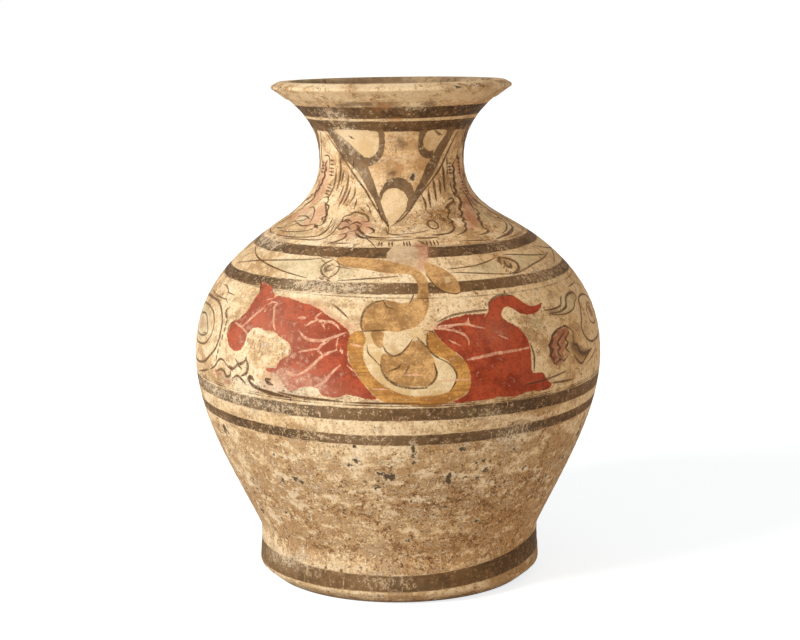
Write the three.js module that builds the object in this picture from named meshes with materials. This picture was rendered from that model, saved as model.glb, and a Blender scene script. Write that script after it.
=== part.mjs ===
// Painted earthenware hu vase, in millimetres, +Z up, standing on Z = 0, painted front towards -Y.
//
// The vessel is modelled the way a potter builds it. A foot ring carries a floor slab, and four
// wall sections and a mouth rim are stacked on the slab on flat joint lands. At every joint a clay
// lute, which is a coil pressed in from the inside, ties one section to the next.
// All sections share one outer curve and one wall thickness, so the wall runs on through the joints.
import * as THREE from 'three';

// Foot ring
const SOLE_RADIUS = 117;
const SOLE_LAND = 9.5;
const FOOT_EDGE_RADIUS = 129.5;
const FOOT_BEVEL_HEIGHT = 10;
const FOOT_WAIST_RADIUS = 128.2;
const FOOT_WAIST_HEIGHT = 35;
const FOOT_HEIGHT = 40;
const FOOT_INNER_DRAFT = 5;

// Body, shoulder and neck: radius, height and flare of the outer curve
const BODY_BASE_RADIUS = 129.6;
const BODY_BASE_HEIGHT = 48;
const BODY_FLARE = 0.47;
const BELLY_RADIUS = 185.2;
const BELLY_HEIGHT = 203;
const SHOULDER_RADIUS = 102.2;
const SHOULDER_HEIGHT = 325;
const SHOULDER_FALL = -1.67;
const NECK_RADIUS = 65.6;
const NECK_HEIGHT = 381;
const NECK_TOP_RADIUS = 93.6;
const MOUTH_FLARE = 1.21;

// Mouth rim
const TOTAL_HEIGHT = 450;
const RIM_HEIGHT = 15.5;
const LIP_RADIUS = 108.4;
const LIP_ROOT_STEP = 1.4;
const LIP_EDGE_THICKNESS = 2.4;
const LIP_EDGE_DROP = 3.6;
const RIM_LAND_OUTER_RADIUS = 102;
const RIM_LAND_WIDTH = 11;
const MOUTH_EDGE_RADIUS = 88;
const MOUTH_EDGE_DROP = 2;

// Clay thickness
const WALL = 9;
const FLOOR_THICKNESS = 12;

// Heights of the joints between the wall sections
const GIRTH_JOINT_HEIGHT = 184.5;
const SHOULDER_JOINT_HEIGHT = 285.5;
const NECK_JOINT_HEIGHT = 345;

// Lutes and the grooves that hold them
const GROOVE_DEPTH = 3.5;
const GROOVE_HALF_HEIGHT = 4;
const LUTE_BEAD = 2;
const CORNER_LUTE_SIZE = 10;
const LUTE_CLEARANCE = 0.3;

// The neck of this hand-built pot stands a little off the axis, towards -X, and the top of the
// shoulder bends over to it. Its mouth isn't quite level either: the lip is highest at
// MOUTH_TILT_BEARING degrees, counted from the front towards +X
const NECK_LEAN = 4.8;
const LEAN_BOTTOM = 300;
const LEAN_TOP = 350;
const MOUTH_TILT = 3.5;
const MOUTH_TILT_BEARING = 14;

// Fineness of the faceted surface
const SEGMENTS = 56;
const ROW_HEIGHT = 17;
const CURVE_STEP = 1;

const floorTop = FOOT_HEIGHT + FLOOR_THICKNESS;
const rimBottom = TOTAL_HEIGHT - RIM_HEIGHT;

const outerStations = [
  { height: FOOT_BEVEL_HEIGHT, radius: FOOT_EDGE_RADIUS, flare: 0 },
  { height: FOOT_WAIST_HEIGHT, radius: FOOT_WAIST_RADIUS, flare: 0 },
  { height: BODY_BASE_HEIGHT, radius: BODY_BASE_RADIUS, flare: BODY_FLARE },
  { height: BELLY_HEIGHT, radius: BELLY_RADIUS, flare: 0 },
  { height: SHOULDER_HEIGHT, radius: SHOULDER_RADIUS, flare: SHOULDER_FALL },
  { height: NECK_HEIGHT, radius: NECK_RADIUS, flare: 0 },
  { height: rimBottom, radius: NECK_TOP_RADIUS, flare: MOUTH_FLARE },
];

// Outer curve: a smooth cubic between each pair of stations
function outerRadius(height) {
  let upper = outerStations.findIndex((station) => station.height > height);
  if (upper < 0) {
    upper = outerStations.length - 1;
  }
  upper = Math.max(upper, 1);
  const from = outerStations[upper - 1];
  const to = outerStations[upper];
  const span = to.height - from.height;
  const t = (height - from.height) / span;
  const blend = t * t * (3 - 2 * t);
  const leave = t * (1 - t) * (1 - t) * span;
  const arrive = t * t * (t - 1) * span;
  return from.radius * (1 - blend) + to.radius * blend + from.flare * leave + to.flare * arrive;
}

function outerFlare(height) {
  return (outerRadius(height + CURVE_STEP / 2) - outerRadius(height - CURVE_STEP / 2)) / CURVE_STEP;
}

// Inner curve: the outer curve moved into the pot by the wall thickness, square to the surface
function offsetCurve(fromHeight, toHeight, wall) {
  const steps = Math.ceil((toHeight - fromHeight) / CURVE_STEP);
  const points = [];
  for (let i = 0; i <= steps; i += 1) {
    const height = fromHeight + ((toHeight - fromHeight) * i) / steps;
    const flare = outerFlare(height);
    const length = Math.hypot(1, flare);
    const radius = outerRadius(height) - wall / length;
    points.push({ height: height + (wall * flare) / length, radius });
  }
  return points;
}

const innerCurve = offsetCurve(FOOT_WAIST_HEIGHT, rimBottom, WALL);

function innerRadius(height) {
  let upper = innerCurve.findIndex((point) => point.height > height);
  if (upper < 0) {
    upper = innerCurve.length - 1;
  }
  upper = Math.max(upper, 1);
  const from = innerCurve[upper - 1];
  const to = innerCurve[upper];
  const t = (height - from.height) / (to.height - from.height);
  return from.radius + (to.radius - from.radius) * t;
}

function leanAt(height) {
  return -NECK_LEAN * THREE.MathUtils.smoothstep(height, LEAN_BOTTOM, LEAN_TOP);
}

// Rise of a point through the tilt of the mouth: none below the neck, full from the rim joint up
function tiltAt(x, y, height) {
  const bearing = THREE.MathUtils.degToRad(MOUTH_TILT_BEARING);
  const towardsHighSide = (x * Math.sin(bearing) - y * Math.cos(bearing)) / LIP_RADIUS;
  return MOUTH_TILT * towardsHighSide * THREE.MathUtils.smoothstep(height, NECK_HEIGHT, rimBottom);
}

// Points of a curve from one height to another, both ends included
function wallPoints(radiusAt, fromHeight, toHeight) {
  const rows = Math.max(1, Math.ceil(Math.abs(toHeight - fromHeight) / ROW_HEIGHT));
  const points = [];
  for (let i = 0; i <= rows; i += 1) {
    const height = fromHeight + ((toHeight - fromHeight) * i) / rows;
    points.push([radiusAt(height), height]);
  }
  return points;
}

// Turns a closed outline of [radius, height] points into a ring, or a slab that starts on the axis
function turnedPiece(name, outline, material) {
  const points = outline.map(([radius, height]) => new THREE.Vector2(radius, height));
  if (outline[0][0] > 0) {
    points.push(points[0].clone());
  }
  const geometry = new THREE.LatheGeometry(points, SEGMENTS);
  geometry.rotateX(Math.PI / 2);
  const position = geometry.getAttribute('position');
  for (let i = 0; i < position.count; i += 1) {
    const height = position.getZ(i);
    position.setZ(i, height + tiltAt(position.getX(i), position.getY(i), height));
    position.setX(i, position.getX(i) + leanAt(height));
  }
  const mesh = new THREE.Mesh(geometry, material);
  mesh.name = name;
  return mesh;
}

function clay(color, roughness) {
  return new THREE.MeshStandardMaterial({ color, roughness, metalness: 0 });
}

const paintedSlip = clay('#d3b98c', 0.88);
const wornSlip = clay('#bd9b6c', 0.92);
const bareClay = clay('#7c6449', 0.95);

// Foot ring: a bevelled sole, a slight waist and a hollow that opens downwards
function footRing() {
  const soleInner = SOLE_RADIUS - SOLE_LAND;
  return turnedPiece('foot_ring', [
    [SOLE_RADIUS, 0],
    ...wallPoints(outerRadius, FOOT_BEVEL_HEIGHT, FOOT_HEIGHT),
    [soleInner + FOOT_INNER_DRAFT, FOOT_HEIGHT],
    [soleInner, 0],
  ], wornSlip);
}

// Floor slab: its edge is part of the outer wall
function baseDisc() {
  return turnedPiece('base_disc', [
    [0, FOOT_HEIGHT],
    ...wallPoints(outerRadius, FOOT_HEIGHT, floorTop),
    [0, floorTop],
  ], bareClay);
}

// Inner edge of a wall section at a joint, cut back to half of the groove for the lute
function grooveEdge(jointHeight, side) {
  const mouthHeight = jointHeight + side * GROOVE_HALF_HEIGHT;
  return {
    root: [innerRadius(jointHeight) + GROOVE_DEPTH, jointHeight],
    mouth: [innerRadius(mouthHeight), mouthHeight],
  };
}

// Wall section with a flat land at each end
function wallSection(name, bottom, top, material) {
  const upper = grooveEdge(top, -1);
  const lower = grooveEdge(bottom, 1);
  return turnedPiece(name, [
    ...wallPoints(outerRadius, bottom, top),
    upper.root,
    ...wallPoints(innerRadius, upper.mouth[1], lower.mouth[1]),
    lower.root,
  ], material);
}

// Lowest section: it stands on the floor slab and needs no groove there
function lowerBody() {
  const upper = grooveEdge(GIRTH_JOINT_HEIGHT, -1);
  return turnedPiece('lower_body', [
    ...wallPoints(outerRadius, floorTop, GIRTH_JOINT_HEIGHT),
    upper.root,
    ...wallPoints(innerRadius, upper.mouth[1], floorTop),
  ], wornSlip);
}

// Mouth rim: a strip with an out-turned lip, flat on top
function mouthRim() {
  const lower = grooveEdge(rimBottom, 1);
  const edgeTop = TOTAL_HEIGHT - LIP_EDGE_DROP;
  return turnedPiece('mouth_rim', [
    [outerRadius(rimBottom) + LIP_ROOT_STEP, rimBottom],
    [LIP_RADIUS, edgeTop - LIP_EDGE_THICKNESS],
    [LIP_RADIUS, edgeTop],
    [RIM_LAND_OUTER_RADIUS, TOTAL_HEIGHT],
    [RIM_LAND_OUTER_RADIUS - RIM_LAND_WIDTH, TOTAL_HEIGHT],
    [MOUTH_EDGE_RADIUS, TOTAL_HEIGHT - MOUTH_EDGE_DROP],
    lower.mouth,
    lower.root,
  ], paintedSlip);
}

// Lute in the groove of a joint, with a smoothed bead that stands into the pot
function grooveLute(name, jointHeight) {
  const below = grooveEdge(jointHeight, -1);
  const above = grooveEdge(jointHeight, 1);
  const faceSquareness = [below, above].map(({ root, mouth }) => {
    const across = root[0] - mouth[0];
    const along = Math.abs(root[1] - mouth[1]);
    return along / Math.hypot(across, along);
  });
  const shift = LUTE_CLEARANCE / Math.min(...faceSquareness);
  const beadRadius = innerRadius(jointHeight) - shift - LUTE_BEAD;
  return turnedPiece(name, [
    [below.mouth[0] - shift, below.mouth[1]],
    [below.root[0] - shift, jointHeight],
    [above.mouth[0] - shift, above.mouth[1]],
    [beadRadius, jointHeight + GROOVE_HALF_HEIGHT / 3],
    [beadRadius, jointHeight - GROOVE_HALF_HEIGHT / 3],
  ], bareClay);
}

// Lute in the corner between the floor slab and a wall: up inside the pot, down in the foot
function cornerLute(name, wallRadius, floorHeight, upwards) {
  const foot = floorHeight + upwards * CORNER_LUTE_SIZE;
  const radiusAtFloor = wallRadius(floorHeight) - LUTE_CLEARANCE;
  const radiusAtFoot = wallRadius(foot) - LUTE_CLEARANCE;
  const outline = [
    [radiusAtFloor, floorHeight],
    [radiusAtFoot, foot],
    [radiusAtFoot - CORNER_LUTE_SIZE * 0.3, floorHeight + upwards * CORNER_LUTE_SIZE * 0.6],
    [radiusAtFloor - CORNER_LUTE_SIZE, floorHeight],
  ];
  return turnedPiece(name, upwards > 0 ? outline : outline.reverse(), bareClay);
}

function footInnerRadius(height) {
  return SOLE_RADIUS - SOLE_LAND + (FOOT_INNER_DRAFT * height) / FOOT_HEIGHT;
}

const vase = new THREE.Group();
vase.name = 'hu_vase';
vase.add(
  footRing(),
  baseDisc(),
  lowerBody(),
  wallSection('belly', GIRTH_JOINT_HEIGHT, SHOULDER_JOINT_HEIGHT, paintedSlip),
  wallSection('shoulder', SHOULDER_JOINT_HEIGHT, NECK_JOINT_HEIGHT, paintedSlip),
  wallSection('neck', NECK_JOINT_HEIGHT, rimBottom, paintedSlip),
  mouthRim(),
  cornerLute('foot_lute', footInnerRadius, FOOT_HEIGHT, -1),
  cornerLute('floor_lute', innerRadius, floorTop, 1),
  grooveLute('girth_lute', GIRTH_JOINT_HEIGHT),
  grooveLute('shoulder_lute', SHOULDER_JOINT_HEIGHT),
  grooveLute('neck_lute', NECK_JOINT_HEIGHT),
  grooveLute('lip_lute', rimBottom),
);

export default vase;
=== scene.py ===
# %% [markdown]
# # A painted earthenware hu
#
# A hu is a storage jar with a swelling body, a drawn-in neck and a wide mouth. This one is soft grey-brown
# clay under a cream slip, with bands, cloud scrolls, hanging triangles and a horse with its rider painted
# on after firing. The paint never went through a kiln, so it has worn away in specks and scratches.
#
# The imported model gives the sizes. Each of its solids is replaced here by a piece with the same outline
# and far more columns, because old hand-made clay shows its unevenness only on a fine mesh.

import math

import bpy
import numpy as np
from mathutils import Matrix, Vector, noise


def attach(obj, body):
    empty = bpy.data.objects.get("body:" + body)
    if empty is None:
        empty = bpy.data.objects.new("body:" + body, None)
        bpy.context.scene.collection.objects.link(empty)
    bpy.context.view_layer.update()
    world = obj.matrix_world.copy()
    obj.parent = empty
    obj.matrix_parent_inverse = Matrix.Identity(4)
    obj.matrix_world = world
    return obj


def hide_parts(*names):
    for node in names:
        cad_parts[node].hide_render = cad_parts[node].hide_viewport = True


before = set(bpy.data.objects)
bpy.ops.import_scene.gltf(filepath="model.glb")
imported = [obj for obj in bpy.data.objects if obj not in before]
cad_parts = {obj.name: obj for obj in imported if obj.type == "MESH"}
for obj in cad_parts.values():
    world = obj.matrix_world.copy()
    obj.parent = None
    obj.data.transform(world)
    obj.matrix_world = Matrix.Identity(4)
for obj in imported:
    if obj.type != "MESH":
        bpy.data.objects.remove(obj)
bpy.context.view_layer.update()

MM = 0.001
MERGE_GAP = 0.05 * MM

# %% [markdown]
# ## The outline of the pot
#
# A potter keeps one flowing line from foot to mouth. The model does the same: a few stations give a height,
# a radius and a slope, and a smooth cubic runs between them. The inner line is the outer one moved in by
# the thickness of the wall, square to the surface. All lengths here are millimetres.

# %% Outer and inner line
BEVEL_TOP, SOLE_RADIUS, FOOT_RADIUS = 10, 117, 129.5
BELLY_HEIGHT, NECK_HEIGHT = 203, 381
GIRTH_JOINT, SHOULDER_JOINT, NECK_JOINT, RIM_JOINT = 184.5, 285.5, 345, 434.5
STATIONS = np.array([
    (BEVEL_TOP, FOOT_RADIUS, 0), (35, 128.2, 0), (48, 129.6, 0.47), (BELLY_HEIGHT, 185.2, 0),
    (325, 102.2, -1.67), (NECK_HEIGHT, 65.6, 0), (RIM_JOINT, 93.6, 1.21)])
WALL = 9
FLOOR_BOTTOM, FLOOR_TOP = 40, 52
NECK_LEAN, LEAN_BOTTOM, LEAN_TOP = 4.8, 300, 350
LIP_RADIUS, TOP = 108.4, 450
MOUTH_TILT, MOUTH_TILT_BEARING = 3.5, math.radians(14)
DRAWING_SWAY = 4.5
LINE_ROWS, OUTLINE_ROWS = 850, 200


def outer_radius(height):
    height = np.asarray(height, float)
    upper = np.clip(np.searchsorted(STATIONS[:, 0], height, side="right"), 1, len(STATIONS) - 1)
    z0, r0, f0 = STATIONS[upper - 1].T
    z1, r1, f1 = STATIONS[upper].T
    span = z1 - z0
    t = (height - z0) / span
    blend = t * t * (3 - 2 * t)
    return (r0 * (1 - blend) + r1 * blend
            + f0 * t * (1 - t) ** 2 * span + f1 * t * t * (t - 1) * span)


def outer_flare(height):
    return outer_radius(np.asarray(height) + 0.5) - outer_radius(np.asarray(height) - 0.5)


line_height = np.linspace(BEVEL_TOP, RIM_JOINT, LINE_ROWS)
line_flare = outer_flare(line_height)
line_length = np.hypot(1, line_flare)
inner_height = line_height + WALL * line_flare / line_length
inner_line = outer_radius(line_height) - WALL / line_length


def inner_radius(height):
    return np.interp(height, inner_height, inner_line)


def smooth_share(height, start, end):
    t = np.clip((np.asarray(height, float) - start) / (end - start), 0, 1)
    return t * t * (3 - 2 * t)


def lean_and_tilt(points, height):
    """Sets the neck off the axis towards -X and lifts the mouth at the front. All in millimetres."""
    forward = points[:, 0] * math.sin(MOUTH_TILT_BEARING) - points[:, 1] * math.cos(MOUTH_TILT_BEARING)
    high_side = forward / LIP_RADIUS
    points[:, 2] += MOUTH_TILT * high_side * smooth_share(height, NECK_HEIGHT, RIM_JOINT)
    points[:, 0] -= NECK_LEAN * smooth_share(height, LEAN_BOTTOM, LEAN_TOP)


def drawing_sway(height):
    """How far the drawing runs off to the left on its way up: it was painted by eye."""
    sway = DRAWING_SWAY * smooth_share(height, BELLY_HEIGHT, NECK_HEIGHT)
    return sway - NECK_LEAN * smooth_share(height, LEAN_BOTTOM, LEAN_TOP)


steps_up = np.hypot(np.diff(line_height), np.diff(outer_radius(line_height)))
way_up = np.concatenate([[0], np.cumsum(steps_up)])


def along_wall(height):
    """Distance up the outer surface, so that a drawn mark keeps its shape on the sloping shoulder."""
    return np.interp(height, line_height, way_up)


print("Wall line is", round(float(way_up[-1])), "mm long from foot to lip")

# %% [markdown]
# ## Turning a piece
#
# A jar like this grows from rings and slabs of clay, and every one of them is round. So each piece is
# turned: a single point is extruded along the outline of the cut wall, and the outline is swept once round
# the axis. The Spin operator could do it, but the Screw modifier makes hundreds of columns far faster.
# The outline stands at the back, so its seam is out of sight, and its doubles are merged.

# %% Turn an outline
def turned(name, outline, columns):
    """A closed outline of (radius, height) points, swept into a ring, or into a slab if it meets the axis."""
    bpy.ops.object.select_all(action="DESELECT")
    bpy.ops.mesh.primitive_plane_add(size=MM)
    piece = bpy.context.object
    piece.name = piece.data.name = name
    bpy.ops.object.mode_set(mode="EDIT")
    bpy.ops.mesh.merge(type="CENTER")
    path = [Vector((0, radius * MM, height * MM)) for radius, height in outline]
    bpy.ops.transform.translate(value=path[0])
    for start, end in zip(path, path[1:] + path[:1]):
        bpy.ops.mesh.extrude_vertices_move(TRANSFORM_OT_translate={"value": end - start})
    bpy.ops.mesh.select_all(action="SELECT")
    bpy.ops.mesh.remove_doubles(threshold=MERGE_GAP)
    bpy.ops.object.mode_set(mode="OBJECT")
    bpy.ops.object.transform_apply()
    bpy.ops.object.modifier_add(type="SCREW")
    turn = piece.modifiers[-1]
    turn.steps = turn.render_steps = columns
    turn.use_merge_vertices = True
    turn.merge_threshold = MERGE_GAP
    bpy.ops.object.modifier_apply(modifier=turn.name)
    bpy.ops.object.mode_set(mode="EDIT")
    bpy.ops.mesh.select_all(action="SELECT")
    bpy.ops.mesh.remove_doubles(threshold=MERGE_GAP)
    bpy.ops.mesh.normals_make_consistent(inside=False)
    bpy.ops.object.mode_set(mode="OBJECT")
    print(name, "has", len(piece.data.polygons), "faces")
    return piece


def line_points(radius_at, bottom, top, row):
    """Points of a line from one height to another, about one row apart along the surface."""
    heights = np.linspace(bottom, top, OUTLINE_ROWS)
    radii = radius_at(heights)
    way = np.concatenate([[0], np.cumsum(np.hypot(np.diff(heights), np.diff(radii)))])
    stops = np.interp(np.linspace(0, way[-1], max(2, math.ceil(way[-1] / row) + 1)), way, heights)
    return [(float(radius_at(stop)), float(stop)) for stop in stops]


# %% [markdown]
# ## Uneven clay
#
# Nothing on a hand-built jar is truly round. The wall swells and sinks by part of a millimetre, the
# wiping cloth leaves faint rings, flakes of slip fall out in shallow pits, and edges chip. All of this
# only takes clay away, so the outside stays within the measured size.

# %% Marks of hand and age
WOBBLE, RINGS, GRAIN = 0.55, 0.16, 0.14
FLAKES = [  # angle from the front, height, half width, half height, depth
    (4, 152, 2.0, 4.5, 0.7), (17.5, 151, 2.4, 1.6, 0.6), (-12, 142, 2.6, 1.8, 0.6),
    (4.5, 141, 2.0, 1.4, 0.6), (-2.5, 127, 4.5, 3.0, 0.5), (-6.5, 116.5, 2.6, 1.6, 0.6),
    (15, 124, 2.2, 5.0, 0.6), (26, 128, 2.4, 2.0, 0.6), (-33, 118, 4.0, 1.6, 0.5),
    (-31, 115.5, 2.2, 1.4, 0.5), (-39, 114, 2.4, 1.6, 0.5), (41, 123, 2.2, 1.8, 0.5),
    (15, 94, 1.8, 1.4, 0.5), (3, 62, 1.8, 1.2, 0.5), (-12, 155.5, 1.8, 1.3, 0.5), (16, 369, 2.2, 2.0, 0.6)]
FLAKE_SPREAD = 1.3
BACK_FLAKES, FRONT_CRUMBS = 70, 26
rng = np.random.default_rng(7)
for _ in range(BACK_FLAKES):
    FLAKES.append((rng.uniform(60, 300), rng.uniform(55, 158), rng.uniform(1.2, 3.2), rng.uniform(1.0, 2.8),
                   rng.uniform(0.3, 0.7)))
for _ in range(FRONT_CRUMBS):
    FLAKES.append((rng.uniform(-60, 60), rng.uniform(70, 150), rng.uniform(0.9, 1.8), rng.uniform(0.8, 1.4),
                   rng.uniform(0.3, 0.5)))


def rough(points, scale, octaves, seed):
    """Noise from 0 to 1 at each point, the same on every run."""
    shift = Vector((seed * 3.7, seed * 1.9, seed * 5.3))
    return np.array([noise.fractal(Vector(p) * scale + shift, 1.0, 2.0, octaves) for p in points]) * 0.5 + 0.5


def angle_gap(angle, centre):
    return (angle - centre + 180) % 360 - 180


print(len(FLAKES), "flakes of slip have fallen from the lower wall and the neck")


# %% [markdown]
# ## Bands and patches of wear
#
# Seven dark bands ring the jar. The painter held a brush still and turned the pot, so a band is level but
# for a slow sway, given here as the rise of each edge on the left and right side. Wear lies in wide soft
# patches. One list says where the slip is worn brown. One says where the clay is stained browner all over,
# and its big patches on the right side are painted shade. One says where bands and paint are rubbed, and
# its patches on the left side also paint the colours paler there as painted light. The wall below the
# double band is worn a little everywhere.

# %% Bands and wear
BAND_FAR = 20.0
BANDS = [  # bottom, top, then the rise of bottom and top on the left and on the right side
    (13.4, 27.6, -0.6, 4, 8.5, 13), (157, 166, 4, 4, 4, 4), (179, 190.2, 1.5, 0.5, -0.5, -0.5),
    (281.5, 289.8, -1.8, -2.6, 0, -1), (307.5, 315.2, -1.8, -2.6, 0.6, -1.2),
    (408.6, 417.4, -1.4, 0.2, -1, -0.6), (419.7, 429.6, 0.2, 0, 0.6, 0)]
WORN = [  # angle, height, half width in degrees, half height, weight
    (15, 100, 40, 40, 0.5), (48, 85, 25, 40, 0.3), (-25, 95, 14, 30, 0.2), (0, 46, 60, 18, 0.35),
    (2, 388, 18, 22, 0.5), (0, 2, 80, 4, 0.6), (-78, 447, 12, 4, 1.0), (38, 447, 18, 2, 0.9),
    (75, 446, 12, 5, 0.9), (-15, 446, 30, 2, 0.5), (-35, 200, 22, 5, 0.7), (20, 197, 26, 4, 0.5),
    (28, 165, 26, 16, 0.3), (62, 350, 18, 30, 0.6), (-20, 328, 12, 8, 0.4), (41, 248, 5, 14, 0.6),
    (54, 262, 14, 10, 0.1), (35, 335, 22, 10, 0.8), (-20, 428, 22, 8, 0.5), (120, 110, 50, 50, 0.6),
    (200, 120, 45, 60, 0.5), (270, 90, 40, 45, 0.5), (130, 230, 30, 30, 0.4), (240, 240, 40, 25, 0.35),
    (180, 380, 40, 30, 0.5), (100, 400, 30, 20, 0.5), (60, 240, 20, 40, 0.1)]
STAINED_AND_SHADED = [  # browner and warmer all over: stains, and on the right side painted shade
    (62, 240, 40, 150, 0.9), (45, 50, 50, 60, 0.8), (45, 400, 40, 60, 0.6), (150, 200, 50, 160, 0.6),
    (230, 160, 30, 90, 0.4)]
LOW_WEAR, LOW_WEAR_START, LOW_WEAR_END = 0.25, 165, 150
# where bands and paint are rubbed; on the left side these patches also paint the colours paler as painted
# light
RUBBED_AND_LIT = [
    (-38, 240, 16, 45, 0.6), (-26, 210, 9, 10, 0.8), (-36, 202, 20, 5, 0.9), (142, 240, 14, 45, 0.7),
    (28, 250, 5, 12, 0.3), (-22, 286, 20, 8, 1), (-38, 185, 22, 8, 0.8), (-14, 185, 8, 6, 0.2),
    (24, 182, 8, 6, 0.7), (-12, 162, 22, 6, 0.6), (-5, 22, 14, 9, 0.8), (-52, 27, 22, 10, 1.0),
    (-33, 405, 12, 13, 1.1), (-40, 424, 16, 7, 0.9), (12, 429, 12, 4, 0.9), (58, 286, 18, 8, 0.8),
    (48, 312, 10, 6, 0.6), (-64, 312, 12, 6, 0.6), (4, 312, 6, 6, 0.6), (-26, 368, 8, 10, 0.6),
    (-65, 186, 14, 8, 0.8), (120, 286, 30, 8, 0.8), (200, 185, 40, 8, 0.8), (280, 312, 30, 8, 0.7),
    (150, 22, 60, 9, 0.8), (190, 420, 30, 12, 0.9), (250, 162, 40, 6, 0.8), (34, 160, 9, 14, 1.0),
    (-78, 238, 14, 20, 0.6)]


def patches(spots, angle, height):
    """Soft patches added up, from 0 to 1."""
    total = np.zeros(len(angle))
    for at, level, half_angle, half_height, weight in spots:
        across, up = angle_gap(angle, at) / half_angle, (height - level) / half_height
        total += weight * np.exp(-across ** 2 - up ** 2)
    return np.clip(total, 0, 1)


def band_gap(angle, height):
    """How far a point lies outside the nearest band, in mm up the wall."""
    rightward = np.sin(np.radians(angle))
    left, right = np.clip(-rightward, 0, 1) ** 2, np.clip(rightward, 0, 1) ** 2
    way, gap = along_wall(height), np.full(len(angle), BAND_FAR)
    for bottom, top, low_left, top_left, low_right, top_right in BANDS:
        low = along_wall(bottom + low_left * left + low_right * right)
        high = along_wall(top + top_left * left + top_right * right)
        gap = np.minimum(gap, abs(way - (low + high) / 2) - (high - low) / 2)
    return gap


print(len(BANDS), "bands,", len(WORN), "worn patches and", len(RUBBED_AND_LIT), "rubbed ones")

# %% [markdown]
# ## Ageing a turned piece
#
# One function ages every piece, and it works from the place of each point alone. Two pieces that meet at a
# joint therefore get the same swell and the same settling, and no step shows between them. It also notes
# how deep each point lies in a fallen flake, which the slip finish needs later.

# %% Age a piece
SKIN, CORE_RADIUS = 0.4, 40
NO_FLAKE, FLAKE_REACH = -6.0, 12


def points_in_mm(mesh):
    flat = np.empty(len(mesh.vertices) * 3)
    mesh.vertices.foreach_get("co", flat)
    return flat.reshape(-1, 3) / MM


def shade_smooth(piece, sharp_angle):
    bpy.ops.object.select_all(action="DESELECT")
    piece.select_set(True)
    bpy.context.view_layer.objects.active = piece
    bpy.ops.object.shade_smooth_by_angle(angle=math.radians(sharp_angle))


def age(piece, chips=()):
    mesh = piece.data
    points = points_in_mm(mesh)
    radius = np.hypot(points[:, 0], points[:, 1])
    height = points[:, 2].copy()
    angle = np.degrees(np.arctan2(points[:, 0] + drawing_sway(height), -points[:, 1]))
    bevel = SOLE_RADIUS + (FOOT_RADIUS - SOLE_RADIUS) / BEVEL_TOP * height
    outer = np.where(height < BEVEL_TOP, bevel, outer_radius(np.clip(height, BEVEL_TOP, RIM_JOINT)))
    outside = (radius > outer - SKIN) & (radius > CORE_RADIUS)
    flake = np.full(len(points), NO_FLAKE)
    inward = np.zeros(len(points))
    face = points[outside]
    inward[outside] = (WOBBLE * rough(face, 0.011, 1, 1) + GRAIN * rough(face, 0.16, 3, 2)
                       + RINGS * (0.5 + 0.5 * np.sin(height[outside] * 0.7 + 3 * rough(face, 0.01, 1, 3))))
    for at, level, half_width, half_height, depth in FLAKES:
        half_width, half_height = half_width * FLAKE_SPREAD, half_height * FLAKE_SPREAD
        near = outside & (abs(height - level) < FLAKE_REACH)
        if near.any():
            across = np.radians(angle_gap(angle[near], at)) * radius[near] / half_width
            away = np.hypot(across, (height[near] - level) / half_height)
            ragged = away + 1.4 * rough(points[near], 0.34, 3, 4) - 0.7
            flake[near] = np.maximum(flake[near], (1 - away) * min(half_width, half_height))
            inward[near] += depth * np.clip((1.15 - ragged) * 3, 0, 1)
    inside = ~outside & (radius > CORE_RADIUS) & (height > FLOOR_TOP) & (radius < inner_radius(height) + 0.5)
    inward[inside] = -0.6 * rough(points[inside] * (1, 1, 3), 0.03, 2, 5)
    for at, level, half_width, half_height, depth in chips:
        gap = np.radians(angle_gap(angle, at)) * radius / half_width
        away = np.hypot(gap, (height - level) / half_height) + 0.7 * rough(points, 0.35, 2, 6) - 0.35
        lost = np.clip(1 - away, 0, 1) * depth * (radius > outer - 4)
        inward += lost
        chipped = np.minimum((1 - away) * half_height, 0) - 0.35
        flake = np.maximum(flake, np.where(lost > 0, chipped, NO_FLAKE))
    share = (radius - inward) / np.maximum(radius, 1)
    points[:, :2] *= share[:, None]
    lean_and_tilt(points, height)
    mesh.vertices.foreach_set("co", (points * MM).ravel())
    low_wear = LOW_WEAR * smooth_share(height, LOW_WEAR_START, LOW_WEAR_END)
    fields = {
        "flake": flake, "inside": (~outside).astype(float), "worn": patches(WORN, angle, height) + low_wear,
        "rubbed_and_lit": patches(RUBBED_AND_LIT, angle, height), "stained_and_shaded": patches(STAINED_AND_SHADED, angle, height),
        "band": band_gap(angle, height), "level": height + 1.2 * np.sin(angle * math.pi / 90)}
    for name, values in fields.items():
        mesh.attributes.new(name, "FLOAT", "POINT").data.foreach_set("value", values.astype(np.float32))
    shade_smooth(piece, 38)
    print(piece.name, "aged, deepest loss", round(float(inward.max()), 2), "mm")
    return {"angle": angle, "height": height, "radius": radius, "way": along_wall(height), "outside": outside}


# %% [markdown]
# ## Where the pieces meet
#
# The wall sections end in flat lands that stand on each other. Inside each joint a groove takes the lute,
# the coil of clay that the potter pressed in to tie the rings together.

# %% Groove and wall section
GROOVE_DEPTH, GROOVE_HALF, LUTE_BEAD, CORNER_SIZE, CLEARANCE = 3.5, 4, 2, 10, 0.3


def groove_edge(joint, side):
    mouth = joint + side * GROOVE_HALF
    return (float(inner_radius(joint)) + GROOVE_DEPTH, joint), (float(inner_radius(mouth)), mouth)


def wall_outline(bottom, top, row, lower_groove=True):
    root, mouth = groove_edge(top, -1)
    outline = line_points(outer_radius, bottom, top, row) + [root]
    if not lower_groove:
        return outline + line_points(inner_radius, mouth[1], bottom, 8)
    low_root, low_mouth = groove_edge(bottom, 1)
    return outline + line_points(inner_radius, mouth[1], low_mouth[1], 8) + [low_root]


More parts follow.
